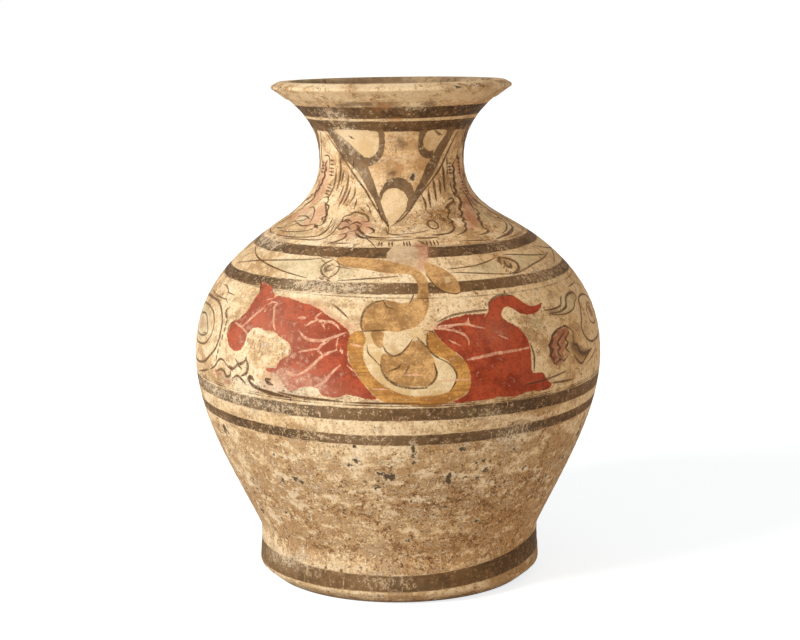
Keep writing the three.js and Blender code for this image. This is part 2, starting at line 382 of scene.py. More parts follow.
def rounded(corners, reach, steps=3):
    """The outline with each marked corner cut back by its reach and rounded over."""
    path = []
    for i, corner in enumerate(corners):
        size = reach[i]
        here = np.array(corner, float)
        if not size:
            path.append(tuple(here))
            continue
        before, after = np.array(corners[i - 1], float), np.array(corners[(i + 1) % len(corners)], float)
        start = here + (before - here) * min(size / np.linalg.norm(before - here), 0.45)
        end = here + (after - here) * min(size / np.linalg.norm(after - here), 0.45)
        for t in np.linspace(0, 1, steps + 1):
            path.append(tuple((1 - t) ** 2 * start + 2 * t * (1 - t) * here + t * t * end))
    return path


def subdivided(path, row):
    """The closed outline with long steps divided, so that chips and pits find enough points."""
    fine = []
    for start, end in zip(path, path[1:] + path[:1]):
        count = max(1, math.ceil(math.dist(start, end) / row))
        fine += [tuple(np.array(start) + (np.array(end) - np.array(start)) * i / count) for i in range(count)]
    return fine


print("Groove roots at radii", [round(groove_edge(j, 1)[0][0], 1) for j in (GIRTH_JOINT, SHOULDER_JOINT)])

# %% [markdown]
# ## Foot ring and floor slab
#
# The jar stands on a low ring with a bevelled sole and a slight waist. Its edge is the part that gets
# knocked, so it has chips all round. The floor slab lies on the ring, and its rim is part of the outside.

# %% Foot ring and floor slab
PLAIN_COLUMNS, COIL_COLUMNS = 640, 300
FOOT_WIDTH, HOLLOW_FLARE = 9.5, 5
SOLE_INNER = SOLE_RADIUS - FOOT_WIDTH
FOOT_CHIPS_BEHIND = 22
foot_chips = [
    (-47, 4, 9, 5, 0.9), (-8, 9, 5, 3, 0.7), (24, 6, 8, 4, 0.7), (38, 3, 6, 3, 0.8), (-28, 10, 6, 2.5, 0.6)]
for _ in range(FOOT_CHIPS_BEHIND):
    foot_chips.append((rng.uniform(50, 310), rng.uniform(1, 11), rng.uniform(3, 9), rng.uniform(2, 5),
                       rng.uniform(0.4, 1.2)))
foot_side = line_points(outer_radius, BEVEL_TOP, FLOOR_BOTTOM, 2)
foot_outline = rounded(
    [(SOLE_RADIUS, 0), *foot_side, (SOLE_INNER + HOLLOW_FLARE, FLOOR_BOTTOM), (SOLE_INNER, 0)],
    [1.2, 1.5] + [0] * (len(foot_side) - 1) + [0, 1.2])
foot_ring = turned("foot_ring_clay", subdivided(foot_outline, 2.2), PLAIN_COLUMNS)
age(foot_ring, foot_chips)

slab_outline = [(0, FLOOR_BOTTOM), *line_points(outer_radius, FLOOR_BOTTOM, FLOOR_TOP, 2), (0, FLOOR_TOP)]
floor_slab = turned("floor_slab_clay", subdivided(slab_outline, 6), PLAIN_COLUMNS)
age(floor_slab)

# %% [markdown]
# ## The four wall sections
#
# The lower wall carries no drawing, so its rows may be wider. The belly, the shoulder and the neck carry
# thin brush lines, and a line can be no crisper than the mesh that holds it. Those rows are about as
# high as a column is wide, a little over a millimetre.

# %% Wall sections
BELLY_COLUMNS, SHOULDER_COLUMNS, NECK_COLUMNS = 880, 840, 560
lower_outline = wall_outline(FLOOR_TOP, GIRTH_JOINT, 2, lower_groove=False)
lower_wall = turned("lower_wall", lower_outline, PLAIN_COLUMNS)
age(lower_wall)
belly_wall = turned("belly_wall", wall_outline(GIRTH_JOINT, SHOULDER_JOINT, 1.3), BELLY_COLUMNS)
belly_place = age(belly_wall)
shoulder_outline = wall_outline(SHOULDER_JOINT, NECK_JOINT, 1.2)
shoulder_wall = turned("shoulder_wall", shoulder_outline, SHOULDER_COLUMNS)
shoulder_place = age(shoulder_wall)
neck_wall = turned("neck_wall", wall_outline(NECK_JOINT, RIM_JOINT, 1.0), NECK_COLUMNS)
neck_place = age(neck_wall)

# %% [markdown]
# ## The mouth rim
#
# A separate strip of clay finishes the mouth. It turns out into a thin lip, and its flat top is wide
# enough to carry a cover. Corners of fired clay are never sharp, so they are rounded over and chipped.

# %% Mouth rim
COLLAR_STEP, LIP_BOTTOM, LIP_EDGE = 1.4, 444, 446.4
LAND_OUTER, LAND_INNER = 102, 91
RIM_CHIPS_BEHIND = 16
rim_root, rim_mouth = groove_edge(RIM_JOINT, 1)
collar = (float(outer_radius(RIM_JOINT)) + COLLAR_STEP, RIM_JOINT)
rim_outline = rounded(
    [collar, (LIP_RADIUS, LIP_BOTTOM), (LIP_RADIUS, LIP_EDGE), (LAND_OUTER, TOP), (LAND_INNER, TOP),
     (88, 448), rim_mouth, rim_root],
    [0, 0.7, 0.9, 1.6, 1.0, 1.0, 0, 0])
rim_chips = [(-88, 445, 5, 3, 0.9), (-62, 446, 6, 2, 0.5), (-35, 445, 4, 2, 0.5), (31, 446, 5, 2, 0.5),
             (74, 445, 4, 2, 0.7), (12, 446, 3, 1.5, 0.4)]
for _ in range(RIM_CHIPS_BEHIND):
    rim_chips.append((rng.uniform(95, 265), rng.uniform(444, 450), rng.uniform(2, 6), rng.uniform(1.5, 3),
                      rng.uniform(0.3, 0.9)))
mouth_rim = turned("mouth_rim_clay", subdivided(rim_outline, 1.6), PLAIN_COLUMNS)
age(mouth_rim, rim_chips)

# %% [markdown]
# ## The lutes
#
# A lute is a coil rolled between the palms and pressed into the joint with a thumb. Two sit in the
# corners of the floor, above and below the slab, and four fill the grooves. Thumb marks are modelled as a
# slow rise and fall of the bead.

# %% Lutes
THUMB_DEPTH, THUMB_MARKS = 0.8, 23


def groove_lute(name, joint):
    (low_root, _), (low_mouth, low) = groove_edge(joint, -1)
    (high_root, _), (high_mouth, high) = groove_edge(joint, 1)
    squareness = min((joint - low) / math.hypot(low_root - low_mouth, joint - low),
                     (high - joint) / math.hypot(high_root - high_mouth, high - joint))
    shift = CLEARANCE / squareness
    bead = float(inner_radius(joint)) - shift - LUTE_BEAD
    corners = [(low_mouth - shift, low), (low_root - shift, joint), (high_mouth - shift, high),
               (bead, joint + GROOVE_HALF / 3), (bead, joint - GROOVE_HALF / 3)]
    return turned(name, subdivided(rounded(corners, [0, 0, 0, 1.2, 1.2]), 1.6), COIL_COLUMNS)


def corner_lute(name, wall_radius, level, upwards):
    foot = level + upwards * CORNER_SIZE
    at_floor, at_foot = float(wall_radius(level)) - CLEARANCE, float(wall_radius(foot)) - CLEARANCE
    hollow = (at_foot - CORNER_SIZE * 0.3, level + upwards * CORNER_SIZE * 0.6)
    corners = [(at_floor, level), (at_foot, foot), hollow, (at_floor - CORNER_SIZE, level)]
    return turned(name, subdivided(rounded(corners, [0, 0.8, 1.5, 0.6]), 1.8), COIL_COLUMNS)


def thumb(piece):
    """Presses the bead in by part of a millimetre between thumb marks."""
    points = points_in_mm(piece.data)
    radius = np.hypot(points[:, 0], points[:, 1])
    angle = np.arctan2(points[:, 0], -points[:, 1])
    bead = np.clip((radius.max() - radius) / (radius.max() - radius.min()), 0, 1)
    press = THUMB_DEPTH * bead * (0.5 + 0.5 * np.sin(angle * THUMB_MARKS + 2 * np.sin(angle * 3)))
    points[:, :2] *= (1 + press / radius)[:, None]
    lean_and_tilt(points, points[:, 2].copy())
    piece.data.vertices.foreach_set("co", (points * MM).ravel())
    shade_smooth(piece, 50)


def hollow_radius(height):
    return SOLE_INNER + HOLLOW_FLARE * height / FLOOR_BOTTOM


lutes = {
    "foot_lute": corner_lute("foot_corner_coil", hollow_radius, FLOOR_BOTTOM, -1),
    "floor_lute": corner_lute("floor_corner_coil", inner_radius, FLOOR_TOP, 1),
    "girth_lute": groove_lute("girth_coil", GIRTH_JOINT),
    "shoulder_lute": groove_lute("shoulder_coil", SHOULDER_JOINT),
    "neck_lute": groove_lute("neck_coil", NECK_JOINT),
    "lip_lute": groove_lute("lip_coil", RIM_JOINT),
}
for coil in lutes.values():
    thumb(coil)

# %% [markdown]
# ## How the drawing gets onto the clay
#
# The painter worked on a curved wall, so every mark is given by its angle from the front in degrees and
# its height in millimetres. An area of colour becomes a distance field: each mesh point stores how far it
# lies from the edge of the area, less than zero inside. A brush line stores how far to its side a point
# lies, in widths of the line. Such numbers blend smoothly across a face, so the finish can cut a crisp,
# worn edge anywhere between two points, and no picture is needed.

# %% Distance to an outline and to a brush line
DEGREE = math.pi / 180
FAR = 8.0
BRUSH, SIDE_LIMIT = 1.45, 5.0
LINE_MARGIN, LINE_ROOM = 4.0, 3.6
PAIRS_AT_ONCE = 600000


def smooth_path(points, closed=False, steps=5):
    """A soft curve through given (angle, height) points, as (angle, way up the wall)."""
    p = np.array([(angle, float(along_wall(height))) for angle, height in points])
    if len(p) < 3:
        return p
    if closed:
        ends = np.vstack([p[-1:], p, p[:2]])
    else:
        ends = np.vstack([2 * p[:1] - p[1:2], p, 2 * p[-1:] - p[-2:-1]])
    path = []
    for a, b, c, d in zip(ends, ends[1:], ends[2:], ends[3:]):
        for t in np.arange(steps) / steps:
            path.append(0.5 * (2 * b + (c - a) * t + (2 * a - 5 * b + 4 * c - d) * t * t
                               + (3 * b - a - 3 * c + d) * t ** 3))
    return np.array(path if closed else path + [p[-1]])


def segments_from(wall, path, margin):
    """Wall points near a path, with every segment of the path placed around each of them in mm."""
    middle = (path[:, 0].min() + path[:, 0].max()) / 2
    half = (path[:, 0].max() - path[:, 0].min()) / 2
    low, high = path[:, 1].min() - margin, path[:, 1].max() + margin
    inside = (wall["way"] > low) & (wall["way"] < high)
    inside &= abs(angle_gap(wall["angle"], middle)) < half + margin / DEGREE / wall["radius"]
    near = np.flatnonzero(inside)
    for chunk in np.array_split(near, max(1, len(near) * len(path) // PAIRS_AT_ONCE)):
        off = path[None, :, 0] - middle - angle_gap(wall["angle"][chunk], middle)[:, None]
        across = off * DEGREE * wall["radius"][chunk][:, None]
        yield chunk, across, path[None, :, 1] - wall["way"][chunk][:, None]


def nearest(x, y):
    ax, ay, bx, by = x[:, :-1], y[:, :-1], x[:, 1:], y[:, 1:]
    ex, ey = bx - ax, by - ay
    t = -(ax * ex + ay * ey) / np.maximum(ex * ex + ey * ey, 1e-9)
    held = np.clip(t, 0, 1)
    gap = np.hypot(ax + held * ex, ay + held * ey)
    best = gap.argmin(axis=1)
    row = np.arange(len(best))
    side = (ax * ey - ay * ex)[row, best] / np.maximum(np.hypot(ex, ey)[row, best], 1e-9)
    return gap[row, best], side, (best + held[row, best]) / ex.shape[1]


def area_field(wall, outlines, turns=(0,)):
    field = np.full(len(wall["angle"]), FAR)
    for outline in outlines:
        for turn in turns:
            path = smooth_path(outline, closed=True) + (turn, 0)
            path = np.vstack([path, path[:1]])
            for chunk, x, y in segments_from(wall, path, FAR):
                gap, _, _ = nearest(x, y)
                ax, ay, bx, by = x[:, :-1], y[:, :-1], x[:, 1:], y[:, 1:]
                crosses = (ay > 0) != (by > 0)
                right = ax - ay * (bx - ax) / np.where(crosses, by - ay, 1) > 0
                signed = np.where((crosses & right).sum(axis=1) % 2 == 1, -gap, gap)
                field[chunk] = np.minimum(field[chunk], np.clip(signed, -FAR, FAR))
    return field


def line_fields(wall, strokes, channels):
    """Brush lines shared out over a few channels, so that lines close together don't disturb each other."""
    count = len(wall["angle"])
    side = np.full((channels, count), SIDE_LIMIT)
    near = np.full((channels, count), FAR)
    taken = [[] for _ in range(channels)]
    for width, points in strokes:
        path = smooth_path(points)
        stroke_radius = float(np.interp(path[:, 1].mean(), way_up, outer_radius(line_height)))
        scaled = path * (DEGREE * stroke_radius, 1)
        room = []
        for others in taken:
            gaps = [np.hypot(*(scaled[:, None] - other[None]).transpose(2, 0, 1)).min() for other in others
                    if (abs(scaled.mean(0) - other.mean(0)) < np.ptp(scaled, 0) + np.ptp(other, 0) + 5).all()]
            room.append(min(gaps, default=99.0))
        channel = next((i for i, gap in enumerate(room) if gap > LINE_ROOM), int(np.argmax(room)))
        taken[channel].append(scaled)
        closed = math.dist(points[0], points[-1]) < 0.3
        for chunk, x, y in segments_from(wall, path, LINE_MARGIN):
            gap, aside, along = nearest(x, y)
            taper = 1.0 if closed else 0.4 + 0.6 * np.clip(np.sin(math.pi * along), 0, 1) ** 0.5
            closer = gap < near[channel, chunk]
            kept = chunk[closer]
            widths = aside / (0.5 * BRUSH * width * taper)
            side[channel, kept] = np.clip(widths, -SIDE_LIMIT, SIDE_LIMIT)[closer]
            near[channel, kept] = gap[closer]
    return side, near


def turned_by(strokes, *turns):
    return [(width, [(angle + turn, height) for angle, height in points])
            for width, points in strokes for turn in turns]


print("Distances are clipped at", FAR, "mm from an edge")

# %% [markdown]
# ## The horse and its rider
#
# Round the belly runs a red horse in full gallop. A rider in brown sits in a looped ochre saddle cloth
# and turns about. The jar shows one such group, and the same group is repeated on the far side. The
# rider's head is a worn patch of pale paint. The outlines below are listed point by point, and smooth
# curves run through their points.

# %% Areas of the galloping group
GROUP_TURNS = (0, 180)
RED = [
    [(-49.3, 283.5), (-46.8, 284), (-42.7, 280.3), (-40.6, 276), (-39.8, 273.4), (-39.1, 275.6),
     (-35.5, 275.4), (-32.3, 274.3), (-29, 272.5), (-24.5, 270.3), (-20.5, 265.3), (-17.7, 261.5),
     (-15.3, 257.2), (-13, 252), (-12.8, 246), (-13.2, 239), (-13, 231), (-11.6, 223.5), (-10.3, 217),
     (-9, 211), (-7.2, 204), (-5.8, 199), (-7.4, 198), (-10.9, 200.4), (-13.6, 201.5), (-15.9, 198.3),
     (-19.5, 199.4), (-20.7, 202), (-21.8, 205.8), (-26, 205), (-28, 201.5), (-29.5, 200.5), (-31, 204),
     (-32.7, 209.6), (-34.5, 213.8), (-37.4, 215.6), (-36.6, 217.8), (-34, 218.2), (-33.6, 221.7),
     (-32.7, 226), (-30.2, 231.3), (-29.8, 236), (-30.6, 240), (-33, 243.5), (-36.4, 248.3),
     (-39.1, 247.4), (-41.5, 249.2), (-43.6, 248.9), (-44.6, 247), (-45.9, 241.7), (-46.1, 237.4),
     (-46.7, 232.4), (-47.9, 228.4), (-49.7, 226.9), (-51.6, 227.5), (-53.3, 230.4), (-54.5, 235),
     (-54.9, 240), (-54.5, 244.6), (-54.1, 248.5), (-52.5, 251.2), (-50.5, 255.3), (-49.3, 259),
     (-48.5, 264), (-48.1, 269.5), (-47.3, 274.5), (-47, 277), (-48.2, 279.5)],
    [(10.1, 254), (11, 257.6), (13.5, 261.2), (18.2, 263.8), (22, 264.6), (25.7, 264.2), (27.4, 265.5),
     (28, 270), (29.6, 273.8), (32, 275.8), (34.5, 276.2), (37, 275.3), (39, 272.6), (40.7, 268.6),
     (42.7, 265.8), (45, 265), (48, 266.6), (46, 262.4), (43.6, 259.6), (41, 259.2), (38.4, 260.5),
     (36.7, 263.4), (35.4, 266.2), (34, 267.6), (32.4, 266.4), (31.5, 263.6), (31.2, 260.3), (32, 257.6),
     (34, 254), (35.8, 250), (37, 245), (37.8, 239), (38.1, 232), (38, 224), (37.7, 217), (38.4, 211.4),
     (41.2, 210.6), (42.6, 207.8), (43.4, 203.6), (44.7, 200.2), (45.2, 196.8), (43, 194.7), (40.5, 194.8),
     (38, 195.9), (35, 195.6), (32, 193.7), (27, 195.2), (23, 194), (19, 193.7), (15.5, 193.3),
     (14.3, 194.6), (16.9, 197.6), (18.5, 202.5), (19, 210), (19, 217), (18, 224), (17.2, 230.2),
     (15.2, 236), (13, 241.5), (11.4, 247), (10.4, 251.5)]]
SADDLE = [
    [(-12.6, 250.5), (-13.4, 243), (-13.2, 234.6), (-12.3, 226), (-10.5, 217.4), (-8.2, 208.9),
     (-5.9, 201), (-3.2, 195.6), (1.4, 193.6), (5.9, 192), (10.5, 192.6), (14.1, 195.3), (17.3, 200.3),
     (18.9, 206), (19.1, 214.6), (18.6, 223.1), (17.7, 228.9), (15.9, 233.9), (13.6, 240.3), (11.8, 246),
     (10.6, 251.4), (9.6, 253.6), (8.6, 252.2), (8, 246), (8, 240.3), (9.8, 234.8), (12.8, 230),
     (14.4, 223.5), (15.5, 217.4), (15.1, 211), (14.1, 206), (12.3, 202.2), (8.6, 200.7), (4.1, 200.5),
     (0.9, 202.6), (-1.4, 206), (-3.6, 209.6), (-5.9, 216), (-7.7, 223.1), (-8.9, 231.7), (-9, 240.3),
     (-8.4, 247.4), (-9.6, 253.4), (-11.2, 253.6)]]
CLOTH = [
    [(-9, 252), (-8.3, 247), (-8.9, 240), (-8.8, 232), (-7.6, 223), (-5.8, 216), (-3.5, 209.5),
     (-1.3, 206), (1, 202.6), (4.1, 200.6), (8.6, 200.8), (12.2, 202.4), (14, 206), (15, 211),
     (15.4, 217.4), (14.3, 223.5), (12.6, 230), (9.7, 234.8), (8, 240), (7.9, 246), (7.4, 252), (6.5, 257),
     (2, 254), (-3, 254)]]
ROBE = [
    [(-9.5, 254.6), (-9.7, 260.3), (-9.3, 266), (-8.2, 271.7), (-5.9, 275.6), (-3.2, 277), (-0.5, 276.4),
     (1.4, 275), (3.8, 275.6), (5.9, 278.3), (7, 282), (7.3, 287.9), (6.1, 294.6), (3.4, 296.6),
     (-1.4, 297), (-5.9, 297.9), (-11.4, 300), (-18.4, 300.8), (-21.4, 303.4), (-22.3, 306.2), (-20, 308),
     (-14, 307.9), (-7.7, 307.2), (-2.3, 305.8), (2.4, 303.6), (6.4, 301.4), (8.6, 298.4), (10, 294.6),
     (10.6, 290.4), (10.5, 286), (10.2, 279.6), (9.6, 272), (8.7, 266.7), (7.3, 261.7), (5.5, 257.2),
     (2.3, 254.4), (0, 253), (-3.2, 254), (-6.8, 253.8)],
    [(10.9, 295), (10.8, 300), (11.6, 304.4), (15.9, 300.9), (19.5, 295), (20.9, 287.9), (20, 280.9),
     (17.6, 280.7), (14.6, 284), (12.3, 288.4)],
    [(-3.6, 236), (-1.4, 234.6), (0.6, 236.4), (2.2, 240), (3.6, 245), (5.6, 247.2), (6.9, 243.6),
     (7.9, 239.4), (9.2, 233), (10, 226), (10.1, 218), (9.5, 212.4), (8, 209.2), (5, 208.6), (1.6, 209.6),
     (-0.6, 212), (-2.4, 216), (-3.7, 221), (-4.3, 226), (-4.5, 231)],
    [(-6.9, 253.6), (-3.7, 252.6), (-3.5, 246), (-4.2, 240.4), (-5.6, 242.2), (-6.6, 247)]]
HOLES = [  # bare slip that shows through the robe and above the cloth
    [(16.2, 290), (17.2, 293.4), (18.6, 292.4), (18.2, 289.4), (17, 288.6)],
    [(-3.2, 251.6), (0.4, 252.8), (4, 252.4), (4.2, 249), (2.4, 243), (1, 238), (-0.4, 234.2), (-2, 235.4),
     (-3.2, 239.6), (-3.6, 245.6)]]
HEAD = [
    [(-2.6, 305.4), (-2.7, 310.5), (-1, 314.6), (1, 316.8), (4.5, 317.8), (9.5, 317), (13.4, 315.6),
     (13.6, 312.2), (12.2, 307.4), (10.6, 302.6), (8.6, 299), (5.2, 300.6), (1.6, 302.6)]]
HOOD = [
    [(9.4, 319), (13, 317.6), (14.6, 314), (13.6, 309), (12.4, 303.4), (10.6, 298.6), (8.4, 299), (9, 305),
     (10, 311), (9.4, 315)]]
DARK_SLEEVE = [[(-20.4, 306), (-23, 307.6), (-25.8, 313.4), (-24.6, 314), (-21.8, 310), (-18.6, 308.2)]]
print(len(RED), "red areas and", len(ROBE), "parts of the robe")

# %% Lines of the galloping group
HARNESS = [  # pale harness lines and curls on the red
    (1.5, [(-42.7, 264.6), (-45.2, 258.1), (-48.6, 248.1)]),
    (1.4, [(-52.3, 249.2), (-49.1, 247.1), (-45.9, 242.8)]),
    (1.4, [(-38.6, 268.1), (-37.7, 261), (-37, 254.6), (-36.1, 250.3)]),
    (1.2, [(-41, 268.6), (-39.6, 270.6), (-37.8, 269.6), (-38.6, 267)]),
    (1, [(-42.4, 271.6), (-40.8, 273)]),
    (1.5, [(-22.3, 265.6), (-23.4, 263), (-23, 260.6), (-21.4, 259.6), (-18.6, 259.6), (-17, 257.4),
           (-16, 254.6)]),
    (1.3, [(-22.6, 260), (-24.4, 258.6), (-25.9, 255.6)]), (1.1, [(-21.2, 257.6), (-20.4, 255)]),
    (1.8, [(-27.4, 249.6), (-26, 246.4), (-23.6, 244.2), (-20, 245), (-17.3, 248), (-14.3, 251.6)]),
    (1.6, [(-19.2, 243.6), (-20.9, 240.6), (-21.4, 236.6), (-20.2, 233.4)]),
    (1.2, [(-21.4, 238), (-24, 236.4), (-26.8, 234.4)]), (1.2, [(-16.2, 246.4), (-16.4, 241)]),
    (1.7, [(-16.6, 237.6), (-19.8, 233), (-22.3, 226), (-24.4, 220), (-27, 215.2)]),
    (1.5, [(-15.4, 225), (-17.7, 218.1), (-19.5, 211), (-22, 206.4)]), (1, [(-13, 225), (-11.4, 221)]),
    (2.4, [(-28.6, 261), (-27, 261.4)]), (2.8, [(-30.4, 216.6), (-28.6, 214.4)]),
    (2, [(-15.1, 238.6), (-14.8, 236.4)]),
    (1.3, [(10.6, 256.6), (15, 257), (19.5, 257.2), (22, 255), (24.5, 253.2)]),
    (1.4, [(20.6, 260.6), (20.4, 257.4)]),
    (1.3, [(10.4, 254.8), (13, 254.4), (15.5, 252.9), (18.2, 249.8), (19.4, 245.6), (19.5, 242.3)]),
    (1.7, [(18.8, 229), (22, 230.2), (26.8, 231.9), (32, 232.4), (37.5, 233.2)]),
    (1, [(14.4, 245), (16.6, 241.4)]), (1.1, [(26, 262.6), (27.2, 266)]), (1, [(29, 246), (31, 243)]),
    (1.2, [(10.6, 212.8), (14.4, 213), (18.6, 212.6)]), (1, [(1.8, 218.6), (5.8, 218.2)]),
    (1.1, [(-12.2, 243), (-9.6, 241.2)]), (1, [(-6.2, 206.8), (-3, 206.6)])]
GROUP_INK = [
    (0.9, [(-18.6, 272.4), (-16.2, 268.4), (-14.1, 263.9)]),
    (1, [(-9.3, 253.4), (-9.9, 258), (-9.7, 265), (-8.7, 271), (-6.4, 275.4), (-3.6, 277.2)]),
    (0.8, [(-9.4, 253.4), (-6, 254), (-3.4, 254.6)]), (0.7, [(5.6, 281.4), (5, 278), (4.2, 275.2)]),
    (0.7, [(-3.5, 275.8), (-2.6, 272.6), (-1.2, 271)]),
    (0.9, [(-3.5, 240.6), (-2.8, 237), (-1, 234.2), (0.8, 236), (2.6, 241), (3.8, 245.8)]),
    (0.9, [(5.8, 247.6), (7, 243.4), (7.9, 240.4)]), (0.9, [(8.2, 238.9), (9.6, 234.4), (11, 231.2)]),
    (1.1, [(-4.4, 226), (-3.8, 220), (-2.6, 215), (-0.4, 210.4), (3.2, 207.6), (6.8, 207.3)]),
    (0.8, [(-1.8, 222.4), (0, 224.4), (0.6, 226.6)]), (0.8, [(2, 220.8), (2.6, 224), (3, 226.4)]),
    (1, [(9.6, 226), (10.1, 219), (9.2, 212.6), (7.8, 209)]), (0.9, [(8.3, 250.6), (8, 245), (8.2, 240.6)]),
    (0.8, [(11.4, 230.6), (13.4, 227), (14.8, 221.6), (15.4, 216.8), (15, 211.4), (14, 205.6)]),
    (1, [(11.8, 260.3), (15.5, 264.2), (20, 266), (25.5, 266.7), (27.6, 266.6)]),
    (0.9, [(27.9, 268.4), (28.7, 272.4), (31.4, 275.9), (34.6, 276.7), (37.6, 275.2)]),
    (1.1, [(38.5, 235), (39.1, 226), (38.7, 214.6)]), (1.1, [(45.4, 199.6), (50, 198.4), (55, 197.6)]),
    (0.7, [(-49.6, 283.8), (-48, 279.6), (-47.2, 276)]),
    (0.7, [(-55.3, 240), (-54.8, 247), (-52.8, 251.6)]),
    (0.7, [(11, 295), (12.8, 287.4), (15.4, 282.6), (18.6, 280.6), (20.6, 281.6)]),
    (0.7, [(-21.6, 301), (-16, 299.6)]), (0.7, [(8.3, 253.6), (10, 252.6), (10.4, 249.6)]),
    (0.6, [(-8, 241), (-7.6, 236), (-6, 231), (-4.9, 227)])]
MANE = [
    [(-30.9, 276), (-24.5, 273.2), (-20.4, 269.4), (-17.5, 265), (-14, 259.8), (-10.6, 256.8),
     (-11.4, 253.4), (-13.4, 253.8), (-15.6, 258.2), (-18, 262.4), (-20.8, 266), (-24.7, 271),
     (-30.6, 273.8)],
    [(-37, 215.4), (-33, 210), (-31, 203.6), (-32.4, 199), (-37, 201), (-39, 208)]]
print(len(HARNESS), "pale lines and", len(GROUP_INK), "ink lines in the group")

# %% [markdown]
# ## Medallions and cloud curls
#
# Between the two groups stand tall medallions of nested ovals, with a red heart, and loose cloud curls.
# They are pure brushwork: one colour of thin ink, with red and grey-green washes laid in by eye. The
# parts of the ovals that turn out of sight are closed by guess.

# %% Strokes between the groups
MEDALLION_INK = [
    (1.6, [(-80, 260.4), (-71.8, 261.3), (-67.5, 260.6), (-64.3, 258.1), (-62.1, 254.4), (-60.3, 250),
           (-59.3, 245), (-58.9, 237.5), (-59.2, 230), (-60.5, 223.1), (-62.1, 219), (-64.3, 214.4),
           (-66.5, 210), (-70, 206.4), (-76, 204), (-83, 205), (-88.6, 211), (-91.6, 222), (-92.4, 236),
           (-91, 249), (-87, 258), (-80, 260.4)]),
    (1.3, [(-80, 253.4), (-74.6, 254.4), (-71.4, 253.6), (-68, 251.6), (-65.9, 248), (-64.6, 243.8),
           (-64.1, 238.8), (-64.6, 233.4), (-66.1, 228.4), (-68.6, 223.8), (-73, 221.4), (-80, 220.6),
           (-85, 225), (-87.6, 235), (-86.8, 246), (-84, 252), (-80, 253.4)]),
    (1.2, [(-78.6, 245.6), (-75.4, 246.9), (-72.1, 245), (-70.2, 241.6), (-68.6, 238.1), (-68, 235),
           (-69, 231.6), (-73, 228.6), (-79, 228), (-83, 232), (-84.4, 238), (-82, 244), (-78.6, 245.6)]),
    (1, [(-72.1, 230.6), (-70.6, 232.4), (-69.3, 232)]),
    (0.9, [(-71.8, 273.8), (-68.2, 273.8), (-65.4, 271.9), (-63.9, 270), (-60, 269.7)]),
    (0.9, [(-80, 265), (-72, 264.6), (-65.7, 264.4), (-62.9, 264.7), (-60.8, 262.4)]),
    (1.2, [(-74.6, 195.4), (-69.3, 198.8), (-65, 202.4)]),
    (1.5, [(72.4, 262.2), (69.8, 260.6), (68.2, 257.2), (67.2, 252.5), (65.9, 248.4), (64.8, 244.4),
           (63.8, 241), (63.3, 237), (63.9, 232.6), (65.1, 228.6), (67.2, 225), (69.6, 223), (73, 222.6),
           (78, 223), (82.6, 227), (85.4, 235), (85, 246), (81.4, 256), (77, 261), (72.4, 262.2)]),
    (1.1, [(76, 253.6), (73, 251), (71.6, 246), (72, 240), (74.6, 236.4), (78, 236), (80.6, 240),
           (81, 247), (79, 252.4), (76, 253.6)]),
    (1.1, [(65.1, 207.5), (68.6, 210.6), (71.8, 214.4)]), (0.9, [(67.7, 271.9), (74.8, 272.5)])]
